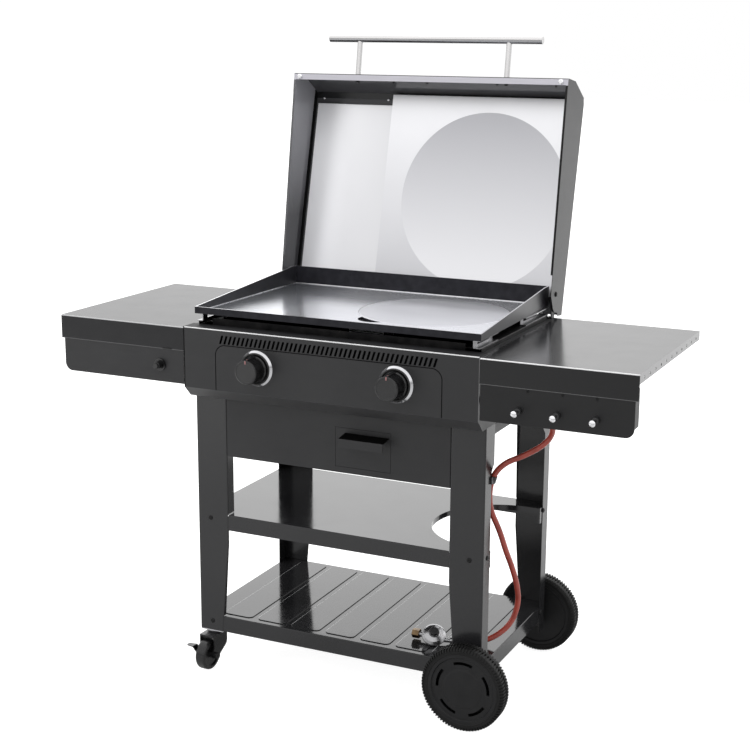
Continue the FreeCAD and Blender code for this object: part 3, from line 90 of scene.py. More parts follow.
# %% Lay the hose
HOSE_ROUTE = [
    (0.404, 0.028, 0.765),
    (0.457, 0.028, 0.765),
    (0.499, 0.053, 0.744),
    (0.511, 0.091, 0.707),
    (0.488, 0.119, 0.663),
    (0.436, 0.118, 0.627),
    (0.392, 0.102, 0.608),
    (0.365, 0.097, 0.571),
    (0.360, 0.101, 0.502),
    (0.380, 0.120, 0.445),
    (0.388, 0.140, 0.393),
    (0.397, 0.163, 0.345),
    (0.402, 0.186, 0.295),
    (0.401, 0.204, 0.244),
    (0.385, 0.199, 0.189),
    (0.347, 0.170, 0.156),
    (0.304, 0.149, 0.150),
    (0.268, 0.136, 0.151),
]
HOSE_RADIUS = 0.0066


def hose_curve(name, route, radius):
    curve = bpy.data.curves.new(name, "CURVE")
    curve.dimensions = "3D"
    spline = curve.splines.new("NURBS")
    spline.points.add(len(route) - 1)
    for point, (x, y, z) in zip(spline.points, route):
        point.co = (x, y + PANEL_FACE, z, 1)
    spline.order_u = 3
    spline.use_endpoint_u = True
    curve.resolution_u = 12
    curve.bevel_depth = radius
    curve.bevel_resolution = 6
    curve.use_fill_caps = True
    piece = bpy.data.objects.new(name, curve)
    bpy.context.scene.collection.objects.link(piece)
    return piece


rubber_hose = hose_curve("rubber_hose", HOSE_ROUTE, HOSE_RADIUS)
print("hose laid through", len(HOSE_ROUTE), "points")

# %% [markdown]
# ## Patterns and finishes
#
# Every finish below is one shader with a few patterns plugged into it. The patterns read Object
# coordinates, which are metres on this model, so the size of a grain can be given as a real length. A
# pattern is wrapped in a small class, so that sums and comparisons on it are written as usual. Each of them
# adds the node that works it out.

# %% A pattern and its arithmetic
RIGHT, LEFT, FRONT, REAR, UP = (1, 0, 0), (-1, 0, 0), (0, -1, 0), (0, 1, 0), (0, 0, 1)


class Pattern:
    """A value that changes from place to place. As a mask it is 1 inside a zone and 0 outside it."""

    def __init__(self, socket):
        self.socket = socket

    def step(self, operation, other=0.0):
        maths = self.socket.id_data.nodes.new("ShaderNodeMath")
        maths.operation = operation
        feed(maths.inputs[0], self)
        feed(maths.inputs[1], other)
        return Pattern(maths.outputs["Value"])

    def __add__(self, other):
        return self.step("ADD", other)

    def __sub__(self, other):
        return self.step("SUBTRACT", other)

    def __mul__(self, other):
        return self.step("MULTIPLY", other)

    def __pow__(self, other):
        return self.step("POWER", other)

    def __mod__(self, other):
        return self.step("FLOORED_MODULO", other)

    def __abs__(self):
        return self.step("ABSOLUTE")

    def __gt__(self, limit):
        return self.step("GREATER_THAN", limit)

    def __lt__(self, limit):
        return self.step("LESS_THAN", limit)

    def __or__(self, other):
        """The larger of two patterns, so a point is in either of two zones."""
        return self.step("MAXIMUM", other)


def feed(socket, value):
    """Plugs a pattern into a socket, or sets a plain number, direction or colour there."""
    if isinstance(value, Pattern):
        socket.id_data.links.new(value.socket, socket)
    else:
        socket.default_value = (*value, 1) if socket.type == "RGBA" else value


def distance(aside, above):
    return (aside ** 2 + above ** 2) ** 0.5


print("patterns can be added, multiplied and compared")

# %% Start and paint a finish
def node(tree, kind, **inputs):
    """A new node. Its inputs are called by their names, with underscores for the spaces."""
    made = tree.nodes.new(kind)
    for name, value in inputs.items():
        feed(made.inputs[name.replace("_", " ")], value)
    return made


def shader_socket(finish, name):
    return finish.node_tree.nodes["Principled BSDF"].inputs[name.replace("_", " ")]


def paint(finish, **sockets):
    """Feeds the sockets of a finish's shader, called by their names."""
    for name, value in sockets.items():
        feed(shader_socket(finish, name), value)


def new_finish(name, **sockets):
    finish = bpy.data.materials.new(name)
    finish.use_nodes = True
    paint(finish, **sockets)
    return finish


def coordinates(finish, kind="Object"):
    return Pattern(node(finish.node_tree, "ShaderNodeTexCoord").outputs[kind])


def grey(value, blue=0.001):
    """A grey with a little more blue, as black paint and steel have."""
    return (value, value, value + blue)


print("finishes are painted by the names of their shader's sockets")

# %% Grain of a real size
def grain(finish, size, stretch=(1, 1, 1), detail=3.0):
    """Soft noise whose lumps are about size metres, drawn out by stretch along each axis."""
    tree = finish.node_tree
    mapping = node(tree, "ShaderNodeMapping", Vector=coordinates(finish), Scale=tuple(1 / s for s in stretch))
    place = Pattern(mapping.outputs["Vector"])
    noise = node(tree, "ShaderNodeTexNoise", Vector=place, Scale=1 / size, Detail=detail)
    return Pattern(noise.outputs["Fac"])


def spread(pattern, low, high, start=0.3, end=0.7):
    """Turns a pattern into values from low, where it is start, to high, where it is end."""
    ranged = node(
        pattern.socket.id_data, "ShaderNodeMapRange", Value=pattern, From_Min=start, From_Max=end, To_Min=low,
        To_Max=high,
    )
    return Pattern(ranged.outputs["Result"])


def tint(pattern, dark, light, start=0.3, end=0.7):
    """Turns a pattern into a colour between dark and light."""
    ramp = node(pattern.socket.id_data, "ShaderNodeValToRGB", Fac=pattern)
    for stop, position, colour in zip(ramp.color_ramp.elements, (start, end), (dark, light)):
        stop.position = position
        stop.color = (*colour, 1)
    return Pattern(ramp.outputs["Color"])


def relief(pattern, depth, strength, under=None):
    """Raises the surface by a pattern, depth metres at most, over a normal that it may have already."""
    bump = node(pattern.socket.id_data, "ShaderNodeBump", Height=pattern, Strength=strength, Distance=depth)
    if under is not None:
        feed(bump.inputs["Normal"], under)
    return Pattern(bump.outputs["Normal"])


print("grain can be spread, tinted and raised")

# %% [markdown]
# ## Powder-coated steel
#
# The cart, the panel and the lid are sheet steel with a baked powder coat. Such a coat is a dark grey, not
# a pure black. It has a fine orange-peel ripple about a millimetre across, and its sheen drifts a little
# from place to place. Shelf tops and the lid carry a glossier coat than the legs, so the coat is one recipe
# with a few numbers.

# %% Powder coat
def powder_coat(name, dark, light, shine=(0.38, 0.46), ripple=0.00006, gloss=0.4):
    """shine is its smallest and its largest roughness, ripple the depth of its orange peel."""
    finish = new_finish(name, IOR=1.5, Specular_IOR_Level=gloss)
    peel = grain(finish, 0.0016, detail=1.5)
    drift = grain(finish, 0.16, detail=4.0)
    smear = grain(finish, 0.02, stretch=(3, 3, 1), detail=5.0)
    paint(
        finish, Base_Color=tint(drift, dark, light), Roughness=spread(smear, *shine),
        Normal=relief(peel, ripple, 0.5),
    )
    return finish


satin_coat = powder_coat("satin_coat", grey(0.013), grey(0.018))
leg_coat = powder_coat("leg_coat", grey(0.011), grey(0.014), (0.2, 0.24), 0.00003, 0.5)
left_shelf_coat = powder_coat("left_shelf_coat", grey(0.012), grey(0.015), (0.16, 0.2), 0.00003, 0.17)
shelf_coat = powder_coat("shelf_coat", grey(0.012), grey(0.015), (0.16, 0.2), 0.00003, 0.38)
tray_coat = powder_coat("tray_coat", grey(0.012), grey(0.016), (0.08, 0.14), 0.00002, 0.5)
# A darker copy of the satin coat for the part shelf_front_right: painted shade.
painted_shade_coat = powder_coat("painted_shade_coat", grey(0.007, 0.0005), grey(0.01, 0.0005), (0.4, 0.48), gloss=0.34)
print("coats:", satin_coat.name, leg_coat.name, shelf_coat.name, tray_coat.name, painted_shade_coat.name)

# %% [markdown]
# ## Zones on one sheet
#
# Some sheets change finish where no edge separates them: the lid is painted, but the folded lip round its
# mouth is bare steel, and its inside gets lighter greys than its outside as painted light and shade. A zone
# is a mask between 0 and 1, worked out from where a point is on the sheet and which way the sheet faces
# there. Inside a zone the finish is covered by another value.

# %% Masks from place and facing
def vector_step(finish, operation, *values):
    step = node(finish.node_tree, "ShaderNodeVectorMath")
    step.operation = operation
    for socket, value in zip(step.inputs, values):
        feed(socket, value)
    return step


def along(finish, way):
    """How far a point lies along a direction, in metres."""
    return Pattern(vector_step(finish, "DOT_PRODUCT", coordinates(finish), way).outputs["Value"])


def facing(finish, way):
    """How much the sheet faces a direction: 1 straight at it, 0 sideways, -1 away from it."""
    return Pattern(vector_step(finish, "DOT_PRODUCT", coordinates(finish, "Normal"), way).outputs["Value"])


MIXES = {"RGBA": ("RGBA", "_Color"), "VALUE": ("FLOAT", "_Float"), "VECTOR": ("VECTOR", "_Vector")}


def mixed(finish, kind, mask, outside, inside, blend="MIX"):
    """outside where the mask is 0, and inside, or its product with outside, where the mask is 1."""
    data, ending = MIXES[kind]
    mix = node(finish.node_tree, "ShaderNodeMix")
    mix.data_type = data
    mix.blend_type = blend
    inputs = {socket.identifier: socket for socket in mix.inputs}
    for name, value in (("Factor_Float", mask), ("A" + ending, outside), ("B" + ending, inside)):
        feed(inputs[name], value)
    return Pattern({socket.identifier: socket for socket in mix.outputs}["Result" + ending])


def present(finish, name):
    """What a socket of the shader has now: the pattern plugged into it, or its plain value."""
    socket = shader_socket(finish, name)
    if socket.links:
        return Pattern(socket.links[0].from_socket)
    return tuple(socket.default_value)[:3] if socket.type == "RGBA" else socket.default_value


def cover(finish, mask, **sockets):
    """Gives sockets of the shader another value inside a mask."""
    for name, value in sockets.items():
        kind = shader_socket(finish, name).type
        paint(finish, **{name: mixed(finish, kind, mask, present(finish, name), value)})


def paint_front_light_and_shade(finish, zone, colour):
    """Gives the front face another colour inside a zone, as a painted highlight or painted shade."""
    cover(finish, (facing(finish, FRONT) > 0.3) * zone, Base_Color=colour)


# A black painted shade for seams, bends and the gaps round the drawer.
PAINTED_SHADE_LINE = (0.002, 0.002, 0.002)
print("zones: masks, covers and rubbed edges")

# %% [markdown]
# ## Painted highlights and painted shade on folds
#
# Bright lines are painted along folds as painted highlights: along the top of the panel and along the
# front of each shelf. A groove, a seam and a cut edge are painted black as painted shade. Each of these
# lies at a known place on its sheet.

# %% The control panel
PANEL_RIM = 0.8636
PANEL_SIDE = 0.3688
PANEL_SEAM = -0.3674
FACE_LOW = 0.7222
GROOVE_HALF, GROOVE_TOP, GROOVE_ROUND, GROOVE_WIDE = 0.284, 0.830, 0.025, 0.0011
GROOVE_TALL = 0.1  # from its top to its middle, which puts its lower end below the panel's face


def from_groove(coat):
    """How far a point lies from the pressed groove, which follows a rectangle with round corners."""
    from_middle = abs(along(coat, RIGHT)), abs(along(coat, UP) - (GROOVE_TOP - GROOVE_TALL))
    reaches = GROOVE_HALF, GROOVE_TALL
    past_corner = [(offset - (reach - GROOVE_ROUND)) | 0.0 for offset, reach in zip(from_middle, reaches)]
    return abs(distance(*past_corner) - GROOVE_ROUND)


def panel_finish():
    coat = powder_coat("panel_coat", grey(0.014), grey(0.018))
    across_panel, height = along(coat, RIGHT), along(coat, UP)
    groove = (from_groove(coat) < GROOVE_WIDE) * (height > FACE_LOW)
    seam = across_panel < PANEL_SEAM
    under_fold = facing(coat, UP) < -0.2
    flat_top = facing(coat, UP) > 0.8
    # Painted highlight on the top fold, right edge and lower bevel; painted shade in the groove and seam.
    paint_front_light_and_shade(coat, height > PANEL_RIM, grey(0.5, 0.005))
    paint_front_light_and_shade(coat, across_panel > PANEL_SIDE, grey(0.12, 0.003))
    paint_front_light_and_shade(coat, groove, (0.001, 0.001, 0.001))
    paint_front_light_and_shade(coat, seam, PAINTED_SHADE_LINE)
    paint_front_light_and_shade(coat, under_fold, grey(0.03))
    cover(coat, flat_top | groove | seam, Specular_IOR_Level=0.06)
    return coat


panel_coat = panel_finish()
print("panel coat with", len(panel_coat.node_tree.nodes), "nodes")

# %% The side shelves
SHELF_RIM = 0.8614
FOLD_EDGE = 0.8083

# The right shelf's front is darkened as painted shade; its rim and lower fold get a painted highlight.
paint_front_light_and_shade(shelf_coat, facing(shelf_coat, FRONT) > 0.3, grey(0.006, 0.0005))
for coat, painted_light in ((left_shelf_coat, 0.34), (shelf_coat, 0.6)):
    paint_front_light_and_shade(coat, along(coat, UP) > SHELF_RIM, grey(painted_light, 0.005))
    paint_front_light_and_shade(coat, along(coat, UP) < FOLD_EDGE, grey(0.09, 0.002))
# The fold at the right end gets a painted highlight, and the bend that leads to it painted shade in black.
end_facing = facing(shelf_coat, RIGHT)
cover(shelf_coat, end_facing > 0.2, Base_Color=PAINTED_SHADE_LINE, Specular_IOR_Level=0.02)
cover(shelf_coat, end_facing > 0.9, Base_Color=grey(0.2, 0.003), Specular_IOR_Level=0.38)
print("rubbed edges on", left_shelf_coat.name, "and", shelf_coat.name)

# %% The pads of the bottom shelf and the skirt round the drawer
PAD_PITCH, PAD_HALF, PAD_EDGE, PAD_LEVEL = 0.092, 0.0385, 0.0018, 0.1412
DRAWER_MIDDLE, DRAWER_HALF = 0.0717, 0.071

pad_coat = powder_coat("pad_coat", grey(0.012), grey(0.016), (0.08, 0.14), 0.00002, 0.46)
past_left_edge = (along(pad_coat, RIGHT) + PAD_HALF) % PAD_PITCH
# The light line beside each pad's left edge is a painted highlight.
cover(pad_coat, (past_left_edge < PAD_EDGE) * (along(pad_coat, UP) > PAD_LEVEL), Base_Color=grey(0.22, 0.003))

skirt_coat = powder_coat("skirt_coat", grey(0.013), grey(0.018))
near_drawer = abs(along(skirt_coat, RIGHT) - DRAWER_MIDDLE) < DRAWER_HALF
cut_edge = abs(facing(skirt_coat, REAR)) < 0.5
# The cut edges round the drawer are painted black as painted shade in the gap.
cover(skirt_coat, near_drawer * cut_edge, Base_Color=PAINTED_SHADE_LINE, Specular_IOR_Level=0.02)
print("rubbed pads", PAD_PITCH, "m apart, and dark cut edges round the drawer")

# %% [markdown]
# ## The lid
#
# The lid stands open and leans back a little. Places on it are given along the lid from its hinge, and
# inward from its mouth, as its sheets are laid out. Its inner sides get painted light towards the top, the
# lip over the mouth is bare steel, and narrow strips beside the liners are painted black as painted shade.

# %% Places on the open lid
LID_LEAN = math.radians(8.5)
HINGE_Y, HINGE_Z = 0.504, 0.922
ALONG_LID = (0, math.sin(LID_LEAN), math.cos(LID_LEAN))
INTO_LID = (0, math.cos(LID_LEAN), -math.sin(LID_LEAN))
OUT_OF_LID = tuple(-v for v in INTO_LID)
LINER_SLOPE = 0.082
BEHIND_LINER = Vector(INTO_LID) - LINER_SLOPE * Vector(ALONG_LID)


def lid_point(x, out, inward):
    """A point on the open lid, out from the hinge and inward from the mouth, with Y from the panel's face."""
    return (
        x,
        HINGE_Y + out * ALONG_LID[1] + inward * INTO_LID[1],
        HINGE_Z + out * ALONG_LID[2] + inward * INTO_LID[2],
    )


print("lid leans", round(math.degrees(LID_LEAN), 1), "degrees")

# %% The lid's coat, its painted light and shade inside and its bare lip
LIP_DEPTH = 0.0215
LIP_LOW = 1.4147
RIGHT_HEM = 0.36
LINER_CORNER = 0.0223
WALL_LOW, WALL_HIGH = 0.95, 1.42


def lid_finish():
    coat = powder_coat("lid_coat", grey(0.012), grey(0.016), (0.24, 0.27), 0.00003, 0.3)
    side, height = along(coat, RIGHT), along(coat, UP)
    inner_side = facing(coat, RIGHT) * side < -0.2
    mouth_faces = facing(coat, INTO_LID) < -0.97
    inner_painted_shade = (facing(coat, UP) < -0.5) | mouth_faces
    before_liner = inner_side * (along(coat, BEHIND_LINER) > LINER_CORNER) * (side < 0.0)
    right_hem = mouth_faces * (side > RIGHT_HEM)
    lip = mouth_faces * (along(coat, INTO_LID) < LIP_DEPTH) * (height > LIP_LOW)
    wall_height = spread(height, 0.0, 1.0, WALL_LOW, WALL_HIGH)
    painted_wall_light = tint(wall_height, grey(0.05, 0.004), grey(0.42, 0.03), 0.25, 1.0)
    lip_colour = tint(grain(coat, 0.0009, stretch=(60, 1, 1)), (0.56, 0.55, 0.6), (0.64, 0.63, 0.68))
    # The inner side walls get painted light that grows towards the top.
    cover(coat, inner_side, Base_Color=painted_wall_light)
    # Painted shade: black by the left liner and the right hem, grey under the top and round the mouth.
    cover(coat, before_liner, Base_Color=(0.003, 0.003, 0.003))
    cover(coat, inner_painted_shade, Base_Color=grey(0.085, 0.005))
    cover(coat, right_hem, Base_Color=grey(0.002, 0.0002))
    cover(coat, inner_side | inner_painted_shade, Roughness=0.13)
    cover(coat, lip, Base_Color=lip_colour, Roughness=0.3)
    paint(coat, Metallic=lip)
    return coat


lid_coat = lid_finish()
print("lid coat with", len(lid_coat.node_tree.nodes), "nodes")

# %% [markdown]
# ## Bright and brushed steel
#
# Brushing leaves fine parallel lines. On the liners they run up the sheet, on the handle along the tube. A
# grain that is very long one way and very short the other gives those lines. It moves the roughness more
# than the colour, because a brush line changes how the steel shines and not what it is made of.

# %% Brushed steel
def brushed_steel(name, colour, shine, stretch, tarnish=0.06, depth=0.00001):
    finish = new_finish(name, Metallic=1.0)
    lines = grain(finish, 0.0007, stretch=stretch, detail=2.0)
    cloud = grain(finish, 0.12, detail=4.0)
    dull = tuple(c * (1 - tarnish) for c in colour)
    paint(
        finish, Base_Color=tint(cloud, dull, colour), Roughness=spread(lines, *shine),
        Normal=relief(lines, depth, 0.35),
    )
    return finish


UP_THE_SHEET, ALONG_THE_TUBE, NO_WAY = (1, 1, 90), (80, 1, 1), (1, 1, 1)
# The left liner gets a lighter steel than the right one: painted light.
left_liner_steel = brushed_steel(
    "left_liner_steel", grey(0.95, 0.02), (0.3, 0.34), UP_THE_SHEET, 0.03, 0.000002)
liner_steel = brushed_steel("liner_steel", grey(0.8, 0.02), (0.32, 0.36), UP_THE_SHEET, 0.03, 0.000002)
plated_steel = brushed_steel("plated_steel", grey(0.62, 0.02), (0.28, 0.4), NO_WAY, 0.2)
handle_steel = brushed_steel("handle_steel", (0.76, 0.75, 0.75), (0.16, 0.26), ALONG_THE_TUBE)
# The handle's underside is painted darker: painted shade.
cover(handle_steel, facing(handle_steel, UP) < -0.05, Base_Color=grey(0.34, 0.01))
print("brushed:", liner_steel.name, handle_steel.name, plated_steel.name)

# %% Light and shade on the two liners
LINER_HEIGHTS = (0.96, 1.38)


def shaded(finish, low, high):
    """Fades a sheet's colour from low at its bottom to high at its top, over its own cloudiness."""
    rise = spread(along(finish, UP), 0.0, 1.0, *LINER_HEIGHTS)
    fade = tint(rise, (low, low, low + 0.01), (high, high, high), 0.0, 1.0)
    paint(finish, Base_Color=mixed(finish, "RGBA", 1.0, present(finish, "Base_Color"), fade, "MULTIPLY"))


shaded(liner_steel, 0.84, 1.2)
shaded(left_liner_steel, 0.84, 1.0)
across_liner = along(left_liner_steel, RIGHT)
# Painted light: the left liner is lighter by the wall and darker towards its right.
cover(left_liner_steel, spread(across_liner, 0.0, 1.0, -0.30, -0.136), Base_Color=grey(0.76, 0.02))
# Near the wall it is made less metallic, so it shows its light colour and not the dark wall mirrored.
paint(left_liner_steel, Metallic=spread(across_liner, 0.1, 1.0, -0.35, -0.24))
print("liners fade from", *LINER_HEIGHTS, "m")

# %% [markdown]
# ## The pressed dish
#
# The right liner has a large round dish pressed into it, painted darker towards its top as painted shade.
# The dish is a shallow part of a large sphere. Its shading follows the true sphere, so that it shines
# without facets.

# %% The dish's colour and shine
DISH_X, DISH_OUT, DISH_INWARD, DISH_RADIUS = 0.137, 0.214, 0.0686, 0.22
SPHERE = 2.0227

dish_middle = Vector(lid_point(DISH_X, DISH_OUT, DISH_INWARD)) + Vector((0, PANEL_FACE, 0))
out_of_liner = -BEHIND_LINER.normalized()
above_middle = along(liner_steel, ALONG_LID) - dish_middle.dot(Vector(ALONG_LID))
in_dish = distance(above_middle, along(liner_steel, RIGHT) - DISH_X) < DISH_RADIUS
rise = spread(above_middle, 0.0, 1.0, -DISH_RADIUS, DISH_RADIUS)
# The dish is painted lighter at its bottom and darker at its top: painted shade.
cover(liner_steel, in_dish, Base_Color=tint(rise, grey(0.78, 0.02), grey(0.58, 0.03), 0.0, 0.95))

centre = dish_middle + out_of_liner * SPHERE
to_centre = vector_step(liner_steel, "SUBTRACT", centre, coordinates(liner_steel))
turned_with_lid = node(
    liner_steel.node_tree, "ShaderNodeVectorTransform", Vector=Pattern(to_centre.outputs["Vector"]))
turned_with_lid.vector_type = "NORMAL"
turned_with_lid.convert_from, turned_with_lid.convert_to = "OBJECT", "WORLD"
sphere_normal = vector_step(liner_steel, "NORMALIZE", Pattern(turned_with_lid.outputs["Vector"]))
facing_mouth = facing(liner_steel, out_of_liner) > 0.9
cover(liner_steel, in_dish * facing_mouth, Normal=Pattern(sphere_normal.outputs["Vector"]))
print("dish of radius", DISH_RADIUS, "m on a sphere of", SPHERE, "m")

# %% [markdown]
# ## The cooking plate
#
# The plate is rolled steel with a thin film of oil, so it is dark, slightly blue and quite glossy. Rolling
# and wiping leave long soft streaks. The walls round it are painted black on both sides, and their top
# edges are ground bright. The round insert is the same steel, a little lighter and more evenly wiped.

# %% Oiled griddle steel
def griddle_steel(name, dark, light, shine):
    finish = new_finish(name, Metallic=0.85)
    wipe = grain(finish, 0.09, stretch=(3, 1, 1), detail=5.0)
    mill = grain(finish, 0.0012, stretch=(1, 18, 1), detail=2.0)
    paint(
        finish, Base_Color=tint(wipe, dark, light), Roughness=spread(wipe, *shine),
        Normal=relief(mill, 0.00002, 0.3),
    )
    return finish


plate_steel = griddle_steel("plate_steel", (0.56, 0.57, 0.62), (0.7, 0.71, 0.76), (0.16, 0.21))
insert_steel = griddle_steel("insert_steel", (0.72, 0.725, 0.76), (0.79, 0.795, 0.83), (0.28, 0.36))
print("griddle:", plate_steel.name, insert_steel.name)

# %% Painted reflection on the floor, and black walls with bright edges
FLOOR_TOP = 0.8955

across_plate = along(plate_steel, RIGHT)
facing_up = facing(plate_steel, UP)
top_edges = (facing_up > 0.5) * (along(plate_steel, UP) > FLOOR_TOP)
wall_paint = tint(grain(plate_steel, 0.02), grey(0.012, 0.003), grey(0.02, 0.004))
# Painted reflection: the floor is painted bright from left of its middle rightwards, dark at its left end.
cover(plate_steel, spread(across_plate, 0.0, 1.0, -0.2, -0.13), Base_Color=(0.84, 0.85, 0.89))
cover(plate_steel, spread(across_plate, 1.0, 0.0, -0.3, -0.17), Base_Color=(0.24, 0.25, 0.27))
cover(plate_steel, facing_up < 0.5, Base_Color=wall_paint, Roughness=0.35, Metallic=0.0)
cover(plate_steel, top_edges, Base_Color=grey(0.62, 0.02))
paint(plate_steel, Specular_IOR_Level=0.12)
cover(plate_steel, facing(plate_steel, RIGHT) > 0.5, Specular_IOR_Level=1.0)
print("plate walls above", FLOOR_TOP, "m")

# %% [markdown]
# ## Small finishes
#
# The knobs and the igniter are moulded plastic with a fine spark-eroded grain. The tyres are matt rubber.
# The hose is smooth orange-red rubber with a faint mottle. Chrome, brass and zinc each get their own grain.

# %% Plastic, rubber, chrome, brass and zinc
def moulded(name, dark, light, shine, size, depth):
    """A skin whose grain is size metres across and depth metres deep."""
    finish = new_finish(name, IOR=1.5)
    skin = grain(finish, size, detail=2.0)
    cloud = grain(finish, 0.03, detail=4.0)
    paint(
        finish, Base_Color=tint(cloud, dark, light), Roughness=spread(skin, *shine),
        Normal=relief(skin, depth, 0.5),
    )
    return finish


def bare_metal(name, *recipe):
    finish = moulded(name, *recipe)
    paint(finish, Metallic=1.0)
    return finish


knob_plastic = moulded("knob_plastic", grey(0.012), grey(0.017), (0.36, 0.5), 0.0006, 0.00005)
jet_plastic = moulded("jet_plastic", grey(0.003, 0.0003), grey(0.006, 0.0004), (0.2, 0.3), 0.0008, 0.00003)
ribbed_plastic = moulded(
    "ribbed_plastic", grey(0.007, 0.0005), grey(0.011, 0.0005), (0.22, 0.3), 0.0006, 0.00005)
wheel_plastic = moulded(
    "wheel_plastic", grey(0.005, 0.0005), grey(0.008, 0.0005), (0.4, 0.52), 0.0008, 0.00006)
tyre_rubber = moulded("tyre_rubber", grey(0.003, 0), grey(0.006, 0), (0.5, 0.65), 0.0012, 0.00008)
hose_skin = moulded("hose_skin", (0.25, 0.034, 0.022), (0.35, 0.055, 0.036), (0.2, 0.28), 0.0012, 0.00002)
stripe_paint = moulded("stripe_paint", (0.2, 0.09, 0.09), (0.3, 0.15, 0.15), (0.4, 0.5), 0.0008, 0.00002)
black_zinc = moulded("black_zinc", grey(0.002, 0.0002), grey(0.004, 0.0002), (0.3, 0.4), 0.0009, 0.00002)
chrome = bare_metal("chrome", grey(0.82, 0.02), grey(0.88, 0.02), (0.05, 0.12), 0.004, 0.00001)
hook_chrome = bare_metal("hook_chrome", grey(0.78, 0.02), grey(0.84, 0.02), (0.05, 0.12), 0.004, 0.00001)
bezel_chrome = bare_metal("bezel_chrome", grey(0.6, 0.02), grey(0.7, 0.02), (0.08, 0.16), 0.004, 0.00001)
brass = bare_metal("brass", (0.12, 0.08, 0.045), (0.26, 0.18, 0.1), (0.18, 0.28), 0.002, 0.00003)
satin_zinc = bare_metal("satin_zinc", grey(0.34, 0.01), grey(0.46, 0.01), (0.26, 0.34), 0.003, 0.00003)
# The heat shield and the firebox under the griddle get a near-black steel.
dark_steel = bare_metal("dark_steel", grey(0.012), (0.032, 0.031, 0.031), (0.4, 0.6), 0.004, 0.0001)
polished_weld = bare_metal("polished_weld", grey(0.66, 0.02), grey(0.8, 0.02), (0.22, 0.4), 0.003, 0.00004)
for matt, gloss in ((wheel_plastic, 0.3), (tyre_rubber, 0.26), (black_zinc, 0.3)):
    paint(matt, Specular_IOR_Level=gloss)
rubber_hose.data.materials.append(hose_skin)
print("hose skin:", hose_skin.name)

# %% Ribs round the knobs, the dark inside of the bezels and the dark stems of the hooks
KNOB_X, KNOB_Z = 0.175, 0.785
RIBS = 44
RIB_DEPTH = 0.0012
BEZEL_INNER = 0.0375
BALL_BACK = -0.3292


def knob_offsets(finish):
    """How far a point lies to the side of the nearer knob's axis and above it."""
    return abs(along(finish, RIGHT)) - KNOB_X, along(finish, UP) - KNOB_Z


def blackened(finish, zone):
    """Leaves the metal bright outside a zone and makes it satin black inside."""
    cover(finish, zone, Base_Color=(0.008, 0.008, 0.008), Roughness=0.4, Metallic=0.0)


aside, above = knob_offsets(ribbed_plastic)
ribs = (above.step("ARCTAN2", aside) * RIBS).step("SINE")
flank = abs(facing(ribbed_plastic, REAR)) < 0.6
paint(ribbed_plastic, Normal=relief(ribs * flank, RIB_DEPTH, 1.0, present(ribbed_plastic, "Normal")))
# The inside of each bezel is painted black: painted shade in the gap round the knob.
blackened(bezel_chrome, distance(*knob_offsets(bezel_chrome)) < BEZEL_INNER)
blackened(hook_chrome, along(hook_chrome, REAR) > BALL_BACK)
print(RIBS, "ribs round each knob")

# %% [markdown]
# ## Giving the CAD parts their finishes
#
# A CAD part's mesh is left alone. Only its material slots are filled, each part with the finish that the
# real piece has.

# %% Dress the CAD parts
DRESS = {
    panel_coat: ("control_panel",),
    painted_shade_coat: ("shelf_front_right",),
    leg_coat: ("leg_front_left", "leg_front_right", "leg_rear_left", "leg_rear_right"),
    satin_coat: (
        "top_rails", "body_shell", "shelf_front_left", "drawer_guide",
        "grease_drawer", "hinge_brackets", "wheel_axle", "stem_collar_left", "stem_collar_right",
    ),
    left_shelf_coat: ("side_shelf_left",),
    shelf_coat: ("side_shelf_right",),
    tray_coat: ("mid_shelf",),
    pad_coat: ("bottom_shelf",),
    skirt_coat: ("front_skirt", "drawer_front"),
    lid_coat: ("lid_shell",),
    left_liner_steel: ("lid_liner_left",),
    liner_steel: ("lid_liner_right",),
    handle_steel: ("lid_handle",),
    plated_steel: (
        "burner_left", "burner_right", "gas_manifold", "grease_chute", "castor_plates", "valve_stem_left",
        "valve_stem_right",
    ),
    dark_steel: ("heat_shield", "firebox"),
    black_zinc: ("hinge_pins",),
    plate_steel: ("griddle_plate",),
    insert_steel: ("round_insert",),
    ribbed_plastic: ("knob_left", "knob_right"),
    knob_plastic: ("hose_clip",),
    jet_plastic: (
        "igniter_housing", "igniter_button", "castor_wheel_front", "castor_wheel_rear", "castor_fork_front",
        "castor_fork_rear", "castor_brake_front", "castor_brake_rear",
    ),
    wheel_plastic: ("wheel_hub_front", "wheel_hub_rear"),
    tyre_rubber: ("wheel_tyre_front", "wheel_tyre_rear"),
    chrome: ("lid_bumpers",),
    bezel_chrome: ("knob_bezels",),
    hook_chrome: ("utensil_hooks",),
    satin_zinc: ("regulator", "griddle_feet"),
    brass: ("regulator_nut",),
}
for finish, parts in DRESS.items():
    for part in parts:
        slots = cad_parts[part].data.materials
        slots.clear()
        slots.append(finish)
print("dressed", sum(len(parts) for parts in DRESS.values()), "CAD parts")

# %% [markdown]
# ## Helpers for modelling by hand
#
# Small round pieces, such as screws, nuts and ferrules, are lathe shapes. A disc is a good start for one:
# its face is extruded a little, resized, extruded again, and so on up the profile, just as a lathe hand
# cuts one step after another. Then the piece is turned to face its way, and the place and turn are applied,
# so that the finished object sits at the origin like the CAD parts.

# %% Pick, copy, join and settle pieces
def pick(*pieces):
    """Selects these pieces and nothing else. The first becomes the active one."""
    if bpy.context.mode != "OBJECT":
        bpy.ops.object.mode_set(mode="OBJECT")
    bpy.ops.object.select_all(action="DESELECT")
    for piece in pieces:
        piece.select_set(True)
    if pieces:
        bpy.context.view_layer.objects.active = pieces[0]


def twin_of(pattern, name):
    twin = bpy.data.objects.new(name, pattern.data.copy())
    bpy.context.scene.collection.objects.link(twin)
    return twin


def joined(name, pieces):
    pick(*pieces)
    if len(pieces) > 1:
        bpy.ops.object.join()
    pieces[0].name = name
    return pieces[0]


